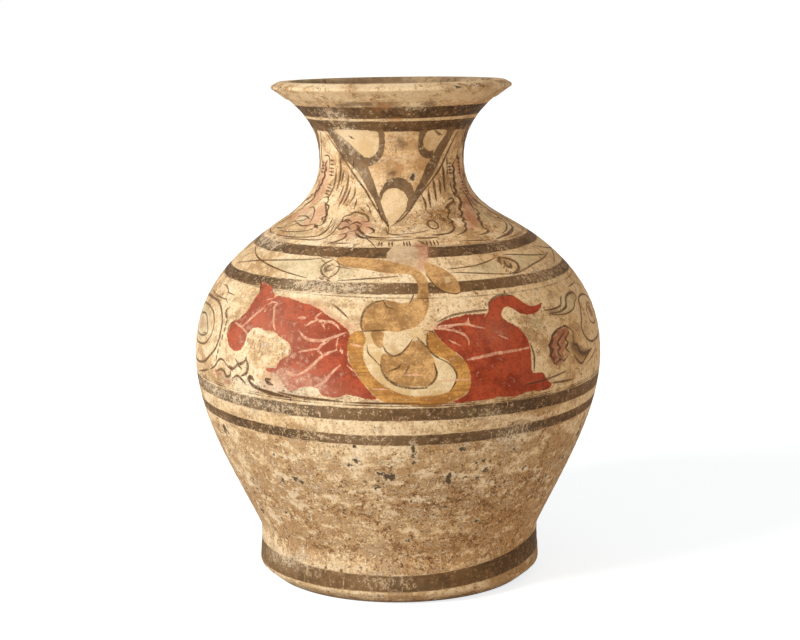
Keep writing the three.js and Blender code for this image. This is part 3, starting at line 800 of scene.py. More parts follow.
CLOUD_INK = [
    (2.2, [(-58.8, 259), (-59.6, 256), (-58.6, 253.4), (-57.7, 251.4)]),
    (2.8, [(-57, 247.9), (-57, 246.9)]), (2.6, [(-56.9, 242.1), (-56.9, 241.2)]),
    (3, [(-57.3, 235.4), (-57.3, 234.4)]), (2.6, [(-58, 229.3), (-58, 228.5)]),
    (2.6, [(-58.6, 222.5), (-58.6, 221.6)]), (2.2, [(-59.2, 217), (-59.2, 216.4)]),
    (1.5, [(-62.5, 204.4), (-59.9, 208.6), (-58.7, 212.5), (-57.8, 215), (-56.4, 216.6), (-55, 215.9),
           (-53.9, 213.4)]),
    (1.9, [(-58.4, 205), (-56.6, 207.6), (-54.6, 206.4), (-53.6, 202.8), (-51.8, 204.4), (-51.4, 208.6)]),
    (1.8, [(-53.4, 213), (-51.6, 210.8), (-49.6, 212.2), (-48.4, 215.4), (-46.8, 213.2)]),
    (1.6, [(-50.2, 203.4), (-48.4, 206), (-46.6, 204), (-45, 200.6)]),
    (1.8, [(-49.2, 219.4), (-47.8, 216.6), (-46, 218.4), (-45, 221.9)]),
    (2.2, [(-45, 221.9), (-44.3, 218.8), (-44.1, 214.4), (-44.6, 210), (-46.3, 207.2)]),
    (3, [(-42, 205.8), (-42.8, 207.4), (-43.6, 206), (-43.2, 203)]),
    (2.5, [(-43.2, 203), (-41.8, 200.2), (-39.2, 198.6)]),
    (1.7, [(-39.2, 198.6), (-35.8, 196.9), (-32, 195.8)]),
    (2.6, [(-36.2, 208.2), (-37.1, 207.4), (-36.6, 205.2), (-35.4, 204.2)]),
    (1.1, [(45.5, 220.3), (45.4, 226.7), (45.7, 233.1), (46.8, 236.9), (47.9, 240.3), (50, 243.1),
           (52.3, 243.9), (54, 244.5), (55.9, 241.7), (57.3, 238), (56.8, 231.7), (55.9, 226.9)]),
    (2, [(46.6, 219.4), (45.2, 223.6), (46.4, 227.4), (45.4, 231.4), (47, 235.2), (47.2, 239),
         (49.6, 241.6)]),
    (1.5, [(49.6, 220.6), (48.4, 224.6), (49.8, 228.4), (48.8, 232.2), (50.8, 236), (52.6, 239.4)]),
    (1.4, [(53.6, 222.6), (52.2, 226.4), (53.8, 230.2), (52.8, 234), (54.8, 237.6)]),
    (1.3, [(47, 215.8), (49, 218), (51, 216.4), (52.6, 218.8)]),
    (2, [(-41, 198.6), (-36, 196.2), (-30, 195)]),
    (1.5, [(-33, 198.2), (-27, 196.4), (-21, 195.8), (-15, 195.2)]),
    (1.2, [(-12, 194.8), (-4, 194.6), (5, 194.8)]),
    (1.3, [(36, 202.6), (41, 203.4), (47, 205), (51, 206.6)]),
    (2.2, [(56.6, 227.4), (58.6, 225.3), (59.5, 219.6), (62.7, 216), (68.2, 217.1)]),
    (1.6, [(68.2, 217.1), (63.6, 213.1), (60.5, 208.9), (58.2, 211.7), (56.4, 217.4)]),
    (1.2, [(47.7, 260), (51.2, 259.6), (55.4, 260.3), (56.8, 262.5), (57.7, 265.6), (58.8, 267)]),
    (1.7, [(49.8, 256.9), (53.9, 256.3), (56.8, 257.5), (58.6, 258.8), (59.8, 261.9), (60.7, 264.9),
           (63, 266.9), (66.6, 267.4), (68.2, 265.6), (68.5, 263.6), (67.6, 261.6)]),
    (1.1, [(50.1, 255.4), (53.3, 254.3), (56.8, 253.4), (59.8, 254.1), (62.4, 255.3), (63.9, 257.4),
           (65.4, 259.8), (67.6, 261.4)])]
CLOUD_GREY = [
    [(51, 258.6), (56, 258.8), (58.4, 261), (59.6, 264.6), (62, 266.6), (66.6, 266.4), (67.4, 263.4),
     (64.6, 260), (62, 256.4), (57, 254.6), (52, 256)],
    [(41.6, 257), (44.4, 256), (45, 250), (43, 246), (41, 250)]]
CLOUD_DARK = [
    [(45.2, 220), (45.2, 228), (46.2, 234.6), (48.6, 238.4), (48.4, 233.4), (47.2, 227), (47.6, 221),
     (48.4, 217.4)],
    [(54.6, 228), (57.4, 230.6), (59.6, 225.4), (63, 219.6), (67, 216.6), (63, 213.4), (58.6, 217),
     (56, 222)],
    [(49, 239.4), (52.4, 242.4), (55, 242), (54, 239), (51, 237)]]
CLOUD_RED = [
    [(45.4, 219), (44.8, 224), (45.6, 229), (45, 233), (47, 237), (48.6, 241), (52, 243.4), (55.4, 241),
     (54.6, 236), (52.2, 232), (52.6, 227), (50.8, 223), (51.4, 217), (49.6, 213), (47, 214)],
    [(-60, 205), (-57, 205.6), (-56, 201.6), (-58.6, 200.6)],
    [(-54.4, 199.6), (-52, 199.8), (-52.4, 196.6), (-54.4, 196.8)],
    [(-52, 213), (-50, 213), (-50.2, 209.6), (-52, 209.8)]]
HEARTS = [[(74.2, 250.6), (77.4, 251.4), (78, 246.6), (76.6, 242.4), (74.4, 242.8)],
          [(-78.4, 242), (-75, 242.6), (-73.6, 238), (-75.4, 233), (-79, 232.6), (-80.6, 237)]]
GREY_WASH = [
    [(-84, 251), (-74, 252), (-68.6, 247), (-67, 238), (-69, 228), (-76, 224), (-86, 228), (-88, 240)]]
SPOTS = [
    [(-4.9, 223), (-4, 222.4), (-4.1, 219.6), (-4.8, 219.8)],
    [(3.6, 252.6), (4.7, 252), (4.6, 248.8), (3.7, 249.4)]]
print(len(MEDALLION_INK), "medallion strokes and", len(CLOUD_INK), "cloud strokes")

# %% [markdown]
# ## Between the two upper bands
#
# Two narrow bands frame a running ornament: pairs of thin lines cross like a stretched thread and meet in
# small curled eyes, on a pale grey-green ground. The pattern goes round the jar in unequal steps, as it
# does when it is spaced by eye.

# %% Eyes and crossing lines
LEFT_EYE = [
    (1.5, [(-24.1, 305), (-26.2, 302.4), (-26.9, 298.6), (-25.6, 294.8), (-22.9, 292.2)]),
    (1, [(-22.9, 292.2), (-20.8, 295.2), (-20, 299.3), (-20.8, 303), (-22.8, 305)]),
    (1.9, [(-23.6, 301.4), (-25.2, 299.6), (-24.6, 297.4), (-23.4, 297.8)]),
    (1.8, [(-25.6, 291.4), (-25, 291)]), (1.6, [(-23, 290.8), (-22.5, 290.4)]),
    (1.4, [(-28, 304.6), (-27.2, 303.8)]), (1, [(-30, 307.2), (-27, 306.4), (-24.6, 306.6)])]
RIGHT_EYE = [
    (2.4, [(42.4, 303.8), (40.9, 301.6), (40.7, 299.6)]),
    (2.1, [(42.2, 303.4), (44.6, 302.8), (46.8, 301), (48.3, 297.9), (47.3, 294.3), (45.2, 292),
           (43, 291.4)]),
    (2.4, [(43, 300), (42.6, 297.4), (44, 295.8), (44.9, 297.8)]), (1.3, [(41.4, 296.9), (41, 296.4)]),
    (1.3, [(41.2, 294.2), (40.9, 293.7)]), (1.3, [(42.3, 292.2), (42, 291.8)])]
CROSSING_LEFT = [
    (1.1, [(-75, 291.1), (-66, 295.4), (-58.6, 298.2), (-47.7, 301.2), (-38, 303.4), (-29.5, 305.6)]),
    (1.1, [(-75, 305.4), (-65.9, 300.9), (-56.8, 297.9), (-44.1, 294.4), (-31.4, 291.1)])]
CROSSING_MIDDLE = [
    (1, [(-18.6, 290.7), (-11.4, 292.4), (-4, 293.8), (0.5, 294.6)]),
    (1, [(19.5, 298.9), (29.5, 300), (34.6, 301.6), (39.5, 303.6)]),
    (1, [(20.5, 296.4), (29.5, 294.3), (35, 292.8), (41.4, 291.1)])]
CROSSING_RIGHT = [
    (1.1, [(43.2, 290.4), (50.5, 292.9), (56.8, 295), (66.8, 296.8), (75, 298.6)]),
    (1.1, [(45.9, 305.2), (52.3, 303.6), (61.4, 300.7), (70.5, 298.4)])]
EYE_GREY = [
    [(-46, 302), (-36, 305), (-28, 305), (-25, 300), (-26, 294), (-33, 291.6), (-44, 295), (-52, 298.6)],
    [(-19.6, 301), (-15, 300), (-14, 295), (-19, 293)],
    [(28, 299.4), (37, 302), (40, 299), (40, 294), (33, 293.6), (27, 296)],
    [(49.4, 303), (57, 301.4), (61, 298.6), (56, 295.6), (49.4, 293)]]
print(len(LEFT_EYE) + len(RIGHT_EYE), "strokes make one pair of eyes")

# %% [markdown]
# ## Hanging triangles of the neck
#
# Three hanging triangles, called lappets, point down from the band under the mouth. Each has a dark
# outline, a pale drop in its tip and a pale half-round in each upper corner. They are painted once here
# and turned by a third of a circle for the other two.

# %% Lappet areas and lines
LAPPET_TURNS = (0, 120, 240)
LAPPET_DARK = [
    [(-52.5, 410), (-50.4, 403), (-48, 398), (-44.6, 392.4), (-41, 387), (-36, 382.4), (-31.4, 378),
     (-26, 372.4), (-21.4, 365), (-16.4, 357.4), (-12.2, 350), (-8.4, 342), (-5, 334), (-2.4, 329.4),
     (-2.6, 333), (-5, 340), (-8, 349), (-11.4, 359.6), (-15, 369.4), (-18.8, 379), (-21.6, 387),
     (-26, 391.6), (-31, 396.6), (-36, 401.6), (-42, 406), (-44, 410)],
    [(51.4, 410), (50.6, 404), (47.6, 396), (43.6, 389.4), (40, 382), (36, 375.6), (32, 369.6),
     (27, 363.4), (22.4, 357), (17, 351), (12, 345), (6, 338.4), (1.5, 332.4), (4, 339), (8.4, 346.6),
     (12.8, 353), (18, 360), (22.4, 366.6), (25.4, 373.4), (28.6, 380.4), (32, 386), (35.6, 392),
     (39.4, 398.6), (43, 405), (43.6, 410)],
    [(-9, 351), (-8.6, 357), (-6, 363.6), (-2, 368), (2, 369.2), (7.6, 369), (12.4, 366), (15.4, 361),
     (16.4, 356), (17, 352), (12.4, 350), (10, 353.6), (7.8, 357.4), (4, 360), (0, 360.4), (-3.4, 359),
     (-6.2, 355.6), (-7.4, 351)],
    [(-5.4, 409), (-4.8, 400), (-6, 392), (-9, 385.4), (-14, 380.4), (-19.6, 379), (-23.4, 383),
     (-21, 386.8), (-17.6, 386.6), (-13.6, 388.6), (-10.8, 392.4), (-9.4, 397.4), (-9, 403), (-11, 409)],
    [(20.6, 409.4), (20, 402), (20.4, 395), (21.8, 390), (25, 386.2), (29.4, 385), (33, 386.6),
     (34, 391.6), (30.4, 391.4), (27, 392.8), (24.6, 396), (24, 401), (25.4, 406), (27, 409)]]
LAPPET_PALE = [
    [(1, 360.4), (4.6, 359.6), (8, 356.8), (9.8, 352.4), (9.2, 345.4), (5.4, 338.8), (1.5, 334.4),
     (-1, 332.4), (-3.4, 337), (-5.4, 343), (-7.2, 349), (-6.6, 354.4), (-3.8, 358.6)],
    [(-43, 409.6), (-38.4, 403.6), (-33, 398.4), (-28, 393.4), (-24, 389.4), (-20, 387), (-15.6, 388.6),
     (-11.6, 393), (-9.8, 399), (-9.6, 404), (-12, 409.4)],
    [(27.4, 408.6), (24.8, 403), (24.6, 398), (26.6, 394.4), (30, 392.2), (34, 393.4), (37.4, 397.6),
     (40.4, 403.4), (41.6, 409)]]
LAPPET_WASH = [
    [(-8, 409), (-5, 398), (-8, 388), (-16, 381), (-18, 378), (-14, 368), (-9.5, 360), (-5, 366),
     (2, 369.5), (9, 369.5), (15, 364), (17, 357), (20, 363), (25, 376), (32, 388), (26, 386), (20, 391),
     (17.6, 400), (19, 409)]]
LAPPET_INK = [
    (1.2, [(-54.6, 406), (-51, 399), (-48, 395), (-44, 390), (-40, 385), (-34, 376.6), (-29, 370),
           (-25, 365), (-20, 359), (-15, 351), (-10, 343), (-6, 336.5), (-2.5, 330), (-2.6, 325.4)]),
    (1.5, [(56.6, 406), (54, 400), (51, 393.4), (48, 388), (44, 381), (40, 375), (36, 370.5), (32, 366.4)]),
    (1.2, [(32, 366.4), (28, 362.5), (24, 358.5), (20, 354), (15, 348.2), (11, 342.6), (5, 335.5),
           (0, 331.4)]),
    (2.2, [(-36.4, 395.4), (-35.6, 394.6)]), (1.4, [(-31, 404), (-29.4, 403)]),
    (1.8, [(33, 408), (36.4, 405.6), (38, 405)])]
NECK_STAIN = [
    [(-8, 426), (-8.6, 431), (-5, 434.6), (-2.6, 432), (0, 434), (1.6, 430), (-1, 427.6), (-2.4, 424.4),
     (-5, 427)],
    [(-3.6, 420), (1, 420.4), (7, 419.8), (5, 417.6), (0, 418)]]
NECK_SMEAR = [
    [(-31, 432), (-22, 433.8), (-12, 433.8), (-11, 431.6), (-20, 431), (-30, 429.4)],
    [(17, 430), (18.6, 434.2), (24, 433.8), (25, 430)],
    [(-46, 397), (-42, 400), (-36, 399), (-34, 394), (-37, 388), (-41, 382), (-45, 384), (-44, 391)],
    [(4, 404), (8, 402.6), (11, 398), (9, 394.6), (5, 398)], [(-4, 372), (0, 376), (4, 374), (0, 370)],
    [(14, 371), (17, 372), (19, 369.6), (16, 367.6)]]
print(len(LAPPET_DARK), "dark areas and", len(LAPPET_PALE), "pale ones on a triangle")

# %% [markdown]
# ## Clouds between the triangles
#
# Below and between the triangles the painter filled the shoulder with quick cloud scrolls. Each is a few
# flicks of a brush: combs of short strokes, rows of dots, ruffled edges and long sweeps that run out
# above the band. Reddish and grey-green washes sit under them.

# %% Cloud strokes of the shoulder
LEFT_CLOUDS = [
    (1.8, [(-43.5, 383), (-43, 372), (-44, 358)]), (1.3, [(-40, 373), (-41, 364)]),
    (1.7, [(-35, 369), (-35, 360), (-36, 352), (-37, 345)]), (1.5, [(-32, 359), (-33, 352), (-34, 347)]),
    (1.3, [(-28, 359), (-27.5, 354), (-29, 349)]), (1.2, [(-25, 350), (-25, 344)]),
    (1.2, [(-30.5, 383), (-31, 378)]), (1.7, [(-48, 372), (-48, 360), (-49.5, 351)]),
    (1.2, [(-38.4, 360), (-39.4, 352)]),
    *((1.3, [(-55, z), (-52.4, z)]) for z in (382, 378.5, 375, 372, 369)),
    *((1.3, [(-54.4, z), (-51.6, z - 0.4)]) for z in (361, 358.4, 355.8, 353.2)),
    (1, [(-68.5, 381), (-69, 378), (-67.5, 375)]), (1, [(-65, 385), (-60, 386), (-57, 384), (-57, 377)]),
    (1.2, [(-54, 350), (-50.5, 350.5), (-48, 347), (-49, 345), (-45, 343.4), (-44, 339), (-42, 336),
           (-44.6, 334), (-42, 332), (-41, 329.4), (-44, 327.5), (-45.4, 325)]),
    (1.7, [(-49.6, 345), (-46, 341), (-43, 337), (-41.4, 332)]),
    (1.2, [(-63, 340), (-60, 341), (-56, 339), (-53, 335), (-51, 330)]),
    (0.9, [(-70, 320), (-60, 321), (-50, 323), (-45, 325)]), (0.8, [(-66, 324), (-60, 328), (-56, 334)]),
    (1.1, [(-66, 317), (-50, 318.5), (-40, 320.5), (-36, 323), (-35, 327), (-34, 331)]),
    (1, [(-60, 316), (-45, 317.5), (-35, 319), (-31.4, 323), (-30.4, 329), (-29.5, 334)]),
    (0.8, [(-36.6, 334), (-36, 330), (-35.8, 326)]), (0.8, [(-33, 330), (-32.4, 325)]),
    (1.4, [(-30, 334), (-29.8, 336.4), (-28, 337.5), (-25.5, 338.6), (-25, 340), (-22, 340.4),
           (-19, 339.6), (-16, 338.5), (-14.4, 336.4), (-13.6, 334), (-15.6, 333.6)]),
    (1.3, [(-30, 333), (-27, 333.2), (-25, 332)]), (1.2, [(-22, 326), (-19, 327), (-17.6, 329.4)]),
    (1.8, [(-18.6, 325.4), (-16.4, 323), (-14.4, 322)]),
    (1.3, [(-17.6, 328.6), (-15.6, 325), (-12, 323), (-5, 322)]),
    (1.2, [(-13, 329.4), (-11, 328.6), (-9.6, 327), (-10.8, 325.4)]),
    (1.3, [(-25.6, 323.6), (-23.6, 324.4), (-23, 321.6), (-25.6, 319), (-29, 317)]),
    (0.9, [(-29, 316.4), (-20, 318)]), (0.8, [(-13, 322), (-10, 319), (-8, 316)]),
    (1, [(-20.4, 343.4), (-18.6, 342)]), (1, [(-17, 347), (-15.6, 345)]),
    (1.1, [(-14.6, 343), (-13.4, 340)]), (0.9, [(-20, 331), (-18, 330)]),
    (0.9, [(-27, 328), (-24.4, 329.4)]), (0.9, [(-9.4, 345), (-6, 334.4)]),
    (2.2, [(-19, 329.6), (-17, 326.6), (-14.5, 325)]), (2, [(-17.5, 323.4), (-15, 322.2), (-12.6, 321.6)]),
    (1.8, [(-12, 329.2), (-10, 327.6), (-9.6, 326.4)]),
    (1.6, [(-29.5, 332.4), (-27, 334.4), (-24.5, 333.6)]),
    (1.6, [(-30, 328), (-27.5, 327.4), (-25, 329.4), (-23, 328)]),
    (1.5, [(-23, 331.4), (-20.6, 333), (-18, 332)]), (2.4, [(-45.4, 328.4), (-42.6, 327)]),
    (2, [(-41.6, 334), (-40.6, 331)]), (2, [(-37, 323), (-35.2, 326)]),
    (1.2, [(-62, 328), (-54, 326.6), (-47, 329)]), (1.2, [(-68, 332), (-60, 333.6), (-54, 332)]),
    (1.1, [(-68, 327.4), (-58, 330.6)])]
RIGHT_CLOUDS = [
    (1.7, [(21.5, 353), (22.5, 348), (21.5, 343)]), (1.7, [(27.5, 358), (26.5, 352), (25.5, 345)]),
    (1.9, [(33, 366), (33, 361), (31.5, 350)]), (1.6, [(38.5, 365), (38.5, 361), (37, 355.5)]),
    (2, [(43.5, 377), (44, 371), (42, 357)]), (1.3, [(48.5, 384), (48.5, 377)]),
    (1.3, [(48.5, 374), (47.5, 369)]), *((1.4, [(50.4, z), (53, z)]) for z in (379, 376, 373.4, 370.4)),
    *((1.7, [(49.4, z), (49.2, z - 1)]) for z in (360.5, 357.5, 354, 352)),
    (1.9, [(43, 349), (46, 349.4), (45.4, 347), (42.6, 345.6), (39.6, 344.6), (37, 342.6), (37.6, 340),
           (35, 337.4)]),
    (1.4, [(35, 337.4), (33, 334.6), (34.4, 332), (32.8, 329.6), (33, 328), (30, 325.2), (26, 323.8),
           (20, 323.8)]),
    (2.3, [(58.4, 380), (56, 377), (58, 373.6), (55.8, 370.4), (57, 367), (54.4, 363.8), (55.4, 361),
           (52.4, 357.8), (53.6, 355), (50.4, 352.4), (51.6, 350)]),
    (2, [(51.2, 349.8), (53.4, 348.4), (51.8, 345.4), (49.6, 343), (46.2, 340.4), (46.4, 338), (43, 335)]),
    (1.5, [(43, 335), (43.6, 333), (41.2, 331.6), (41.8, 329.6), (39.8, 328), (39, 325.8), (35.6, 323.8),
           (32, 322.6)]),
    (1.8, [(61.8, 337), (60.4, 334.8), (57.6, 334.4), (56.6, 332.4), (53.6, 331), (53.4, 328.8),
           (51.2, 327), (50, 325.2)]),
    (1.6, [(50, 325.2), (51.2, 323.6), (50.8, 322.2), (47.2, 321.2), (43.2, 320.8)]),
    (1.3, [(64.6, 384), (65.4, 380), (67, 376), (67.2, 370), (68, 364.8), (68.8, 359.4), (69.4, 355.4)]),
    (1.7, [(62.4, 354), (63, 348), (61.8, 343), (59.4, 338.6)]), (1.2, [(65, 350), (65.6, 345), (64, 340)]),
    (1.3, [(84, 329), (80, 324.6), (74, 320.6), (64.4, 318), (57.6, 317)]),
    (1, [(80, 328), (74, 324), (66, 321), (60, 319.6)]), (2.2, [(62, 383), (64, 384), (66, 382)]),
    (1.3, [(50, 316.4), (60, 318), (70, 320)]), (0.9, [(32, 318), (45, 316.4)]),
    (1.2, [(18.8, 331.4), (20.4, 333.6), (22.8, 333.6), (24.4, 331.4), (23.8, 328.6), (21.4, 327.6),
           (19.4, 329), (18.8, 331.4)]),
    (0.8, [(0, 324.6), (8, 325), (14, 326), (18, 327)]),
    (1, [(4, 324), (0, 324.4), (-3, 326), (-3.6, 329)]), (0.8, [(22, 341), (24, 338)]),
    (1.4, [(37.4, 343.6), (35.4, 342)]), (1.4, [(34.4, 332), (32, 331)])]
SHOULDER_LINES = [
    (1.2, [(-17, 322.4), (-9, 322.2), (-1, 322.2)]), (1, [(-9, 320.9), (0, 320.6), (8, 320.8)]),
    (1.4, [(10, 321.8), (15, 321.6), (20, 321.6)]), (0.9, [(1, 322.6), (7, 323)]),
    (1, [(21, 323), (28, 324)]),
    *((1.5, [(a, 318.6), (a, 317.2)]) for a in (-6.3, -5.2, -2, -0.6, 4.5, 5.8, 7, 14.5, 16.2, 17.8, 19.4)),
    (2, [(11.6, 319.4), (13.4, 317.6)])]
PINK = [
    [(-70, 378), (-60, 380), (-56, 370), (-55, 358), (-58, 346), (-66, 343), (-72, 352), (-73, 366)],
    [(-30, 334), (-24, 337), (-17, 336), (-12, 331), (-11, 326), (-16, 324), (-20, 322), (-26, 320),
     (-28, 326)],
    [(-52, 344), (-47, 342), (-44, 336), (-46, 328), (-54, 326), (-58, 334)],
    [(60.8, 383.5), (72, 374.5), (75, 363.8), (76, 354.8), (78, 345.5), (65, 344), (62, 352), (61, 366)],
    [(59.5, 350.5), (62, 345), (60, 338), (51.5, 330), (42, 325), (40.5, 326), (43.2, 331), (49, 339.8)],
    [(-75, 336), (-64, 342), (-60, 336), (-66, 330), (-76, 328)],
    [(-38, 355), (-34, 356), (-33, 350), (-37, 347)]]
CLOUD_WASH = [
    [(-64, 338), (-57, 338), (-53, 332), (-56, 328), (-63, 331)],
    [(58, 336), (66, 336), (70, 330), (64, 327), (58, 330)], [(62, 321), (70, 323), (74, 321), (66, 319)]]
print(len(LEFT_CLOUDS) + len(RIGHT_CLOUDS), "strokes in the clouds of the shoulder")

# %% [markdown]
# ## Giving the wall its fields
#
# The three painted walls get their numbers now. Each number is kept with the mesh as a named attribute,
# so it moves with the piece.

# %% Store the fields
INK_CHANNELS = 4
GROUP_BRUSH = 1.35
EYE_TURNS, LAST_EYE_TURN = (0, 146), 292
REPEATED_WITHIN = 59


def store(piece, wall, fields):
    """Values for the outer points. Points inside the wall get the value of bare slip."""
    for name, values in fields.items():
        kept = np.where(wall["outside"], values, SIDE_LIMIT if "side" in name else FAR).astype(np.float32)
        piece.data.attributes.new(name, "FLOAT", "POINT").data.foreach_set("value", kept)


def within(points, low, high, margin):
    return min(z for _, z in points) < high + margin and max(z for _, z in points) > low - margin


def draw_on(piece, wall):
    outlines = [(GROUP_BRUSH * width, points) for width, points in GROUP_INK]
    group_ink = turned_by(MEDALLION_INK + CLOUD_INK + outlines, *GROUP_TURNS)
    crossing = CROSSING_LEFT + CROSSING_MIDDLE + CROSSING_RIGHT
    eye_ink = (turned_by(LEFT_EYE + RIGHT_EYE + crossing, *EYE_TURNS)
               + turned_by(LEFT_EYE + CROSSING_LEFT, LAST_EYE_TURN))
    clouds = LEFT_CLOUDS + RIGHT_CLOUDS
    repeated = [stroke for stroke in clouds if max(abs(a) for a, _ in stroke[1]) < REPEATED_WITHIN]
    shoulder_ink = (turned_by(LAPPET_INK, *LAPPET_TURNS) + clouds + turned_by(repeated, *LAPPET_TURNS[1:])
                    + turned_by(SHOULDER_LINES, *LAPPET_TURNS))
    low, high = float(wall["height"].min()), float(wall["height"].max())

    def here(strokes):
        return [stroke for stroke in strokes if within(stroke[1], low, high, 6)]

    side, near = line_fields(wall, here(group_ink + eye_ink + shoulder_ink), INK_CHANNELS)
    pale_side, pale_near = line_fields(wall, here(turned_by(HARNESS, *GROUP_TURNS)), 1)
    fields = {f"ink_side_{i}": side[i] for i in range(INK_CHANNELS)}
    fields |= {f"ink_near_{i}": near[i] for i in range(INK_CHANNELS)}
    fields |= {"thread_side": pale_side[0], "thread_near": pale_near[0]}
    for name, areas, turns in (
            ("red", RED, GROUP_TURNS), ("saddle", SADDLE, GROUP_TURNS), ("cloth", CLOTH, GROUP_TURNS),
            ("robe", ROBE, GROUP_TURNS), ("holes", HOLES, GROUP_TURNS), ("head", HEAD, GROUP_TURNS),
            ("dark", LAPPET_DARK, LAPPET_TURNS), ("pale", LAPPET_PALE, LAPPET_TURNS),
            ("wash", LAPPET_WASH, LAPPET_TURNS),
            ("rose", CLOUD_RED + HEARTS, GROUP_TURNS), ("pink", PINK + MANE + HOOD, GROUP_TURNS),
            ("grey", CLOUD_GREY + GREY_WASH + SPOTS, GROUP_TURNS), ("eye_grey", EYE_GREY, EYE_TURNS),
            ("cloud_wash", CLOUD_WASH, LAPPET_TURNS), ("smear", NECK_SMEAR, LAPPET_TURNS),
            ("sleeve", DARK_SLEEVE + CLOUD_DARK, GROUP_TURNS), ("stain", NECK_STAIN, LAPPET_TURNS)):
        fields[name] = area_field(wall, [area for area in areas if within(area, low, high, FAR)], turns)
    fields["grey"] = np.minimum.reduce([fields["grey"], fields.pop("eye_grey"), fields.pop("cloud_wash")])
    fields["smear"] = np.minimum(fields["smear"], fields.pop("sleeve"))
    store(piece, wall, fields)
    print(piece.name, "carries", len(fields), "drawn fields")


draw_on(belly_wall, belly_place)
draw_on(shoulder_wall, shoulder_place)
draw_on(neck_wall, neck_place)

# %% [markdown]
# ## Writing a finish
#
# A finish is a net of nodes, and long nets are hard to read. Here a small class wraps one socket, so that
# ordinary Python signs add the Math nodes. One method adds every other node: its kind, its settings and
# what goes into its sockets. Colours are written as they look in daylight, from 0 to 255.

# %% Sockets and finishes
class Socket:
    """One output of a finish. Signs between sockets and numbers add Math nodes."""

    def __init__(self, finish, output):
        self.finish, self.output = finish, output

    def maths(self, operation, first, second=0.0):
        return self.finish.add("ShaderNodeMath", {"operation": operation}, {0: first, 1: second})

    def __add__(self, other):
        return self.maths("ADD", self, other)

    def __mul__(self, other):
        return self.maths("MULTIPLY", self, other)

    def __sub__(self, other):
        return self.maths("SUBTRACT", self, other)

    def __rsub__(self, other):
        return self.maths("SUBTRACT", other, self)

    __radd__, __rmul__ = __add__, __mul__

    def __abs__(self):
        return self.maths("ABSOLUTE", self)

    def most(self, other):
        return self.maths("MAXIMUM", self, other)

    def ramp(self, start, end, low=0.0, high=1.0):
        """A soft step from low at start to high at end."""
        return self.finish.add("ShaderNodeMapRange", {"interpolation_type": "SMOOTHSTEP"}, {
            "Value": self, "From Min": start, "From Max": end, "To Min": low, "To Max": high}, "Result")


class Finish:
    def __init__(self, name):
        self.material = bpy.data.materials.new(name)
        self.material.use_nodes = True
        self.tree = self.material.node_tree
        self.tree.nodes.clear()
        self.place = self.add("ShaderNodeTexCoord", out="Object")

    def add(self, kind, settings=(), sockets=(), out=0):
        node = self.tree.nodes.new(kind)
        for name, value in dict(settings).items():
            setattr(node, name, value)
        for key, value in dict(sockets).items():
            if isinstance(value, Socket):
                self.tree.links.new(value.output, node.inputs[key])
            else:
                node.inputs[key].default_value = value
        return Socket(self, node.outputs[out]) if node.outputs else None

    def noise(self, scale, detail=2.0, roughness=0.5, stretch=None, warp=0.0):
        place = self.place
        if stretch:
            place = self.add("ShaderNodeVectorMath", {"operation": "MULTIPLY"}, {0: place, 1: stretch})
        return self.add("ShaderNodeTexNoise", sockets={
            "Vector": place, "Scale": scale, "Detail": detail, "Roughness": roughness, "Distortion": warp})

    def field(self, name):
        return self.add("ShaderNodeAttribute", {"attribute_name": name}, out="Fac")

    def lay(self, under, over, share):
        """A colour laid over another one, as thick as its share."""
        return self.add("ShaderNodeMix", {"data_type": "RGBA"}, {0: share, 6: under, 7: over}, 2)


def tone(red, green, blue):
    """A daylight colour as the linear numbers that a shader takes."""
    return (*(c / 12.92 if c <= 0.04045 else ((c + 0.055) / 1.055) ** 2.4
              for c in (red / 255, green / 255, blue / 255)), 1.0)


CREAM, WARM_CREAM, TAN = tone(241, 214, 172), tone(226, 192, 144), tone(194, 154, 106)
BROWN, UMBER, RUST = tone(146, 108, 68), tone(98, 70, 44), tone(182, 130, 78)
CHALK, MILK, DEEP = tone(222, 208, 184), tone(248, 232, 202), tone(88, 69, 50)
SOIL, HALO, CLAY_EDGE = tone(160, 122, 80), tone(226, 206, 172), tone(138, 114, 86)
# the warm tint that the stained patches multiply in: stains, and on the right side painted shade
STAIN_AND_SHADE_TINT = (1.0, 0.87, 0.72, 1.0)
print("Cream slip in linear light:", [round(c, 3) for c in CREAM[:3]])

# %% [markdown]
# ## Worn slip
#
# Slip is thin clay with chalk in it, wiped on with a cloth, so it has faint upright streaks. Two thousand
# years in the earth have stained it tan and rust in patches, bleached it in others, and left a fine dark
# grain everywhere. Where it rubbed through, the grain closes up into brown. Fallen flakes show the grey
# clay. The same recipe goes on every outer surface, so it runs on from piece to piece.

# %% Slip and its noises
class Grains:
    """The noises that all layers of a finish share, from wide patches down to dust."""

    def __init__(self, finish):
        self.patch = finish.noise(13, 4, 0.6)
        self.mottle = finish.noise(58, 6, 0.66)
        self.bloom = finish.noise(34, 5, 0.62, warp=0.6)
        self.speck = finish.noise(250, 4, 0.66)
        self.dust = finish.noise(620, 3, 0.7)
        self.streak = finish.noise(330, 4, 0.62, stretch=(1, 1, 0.10))
        self.level = finish.noise(520, 4, 0.65, stretch=(0.07, 0.07, 1))
        self.sweep = finish.noise(120, 5, 0.62, stretch=(0.42, 0.42, 1))
        self.worn = finish.field("worn")
        self.rubbed_and_lit = finish.field("rubbed_and_lit")


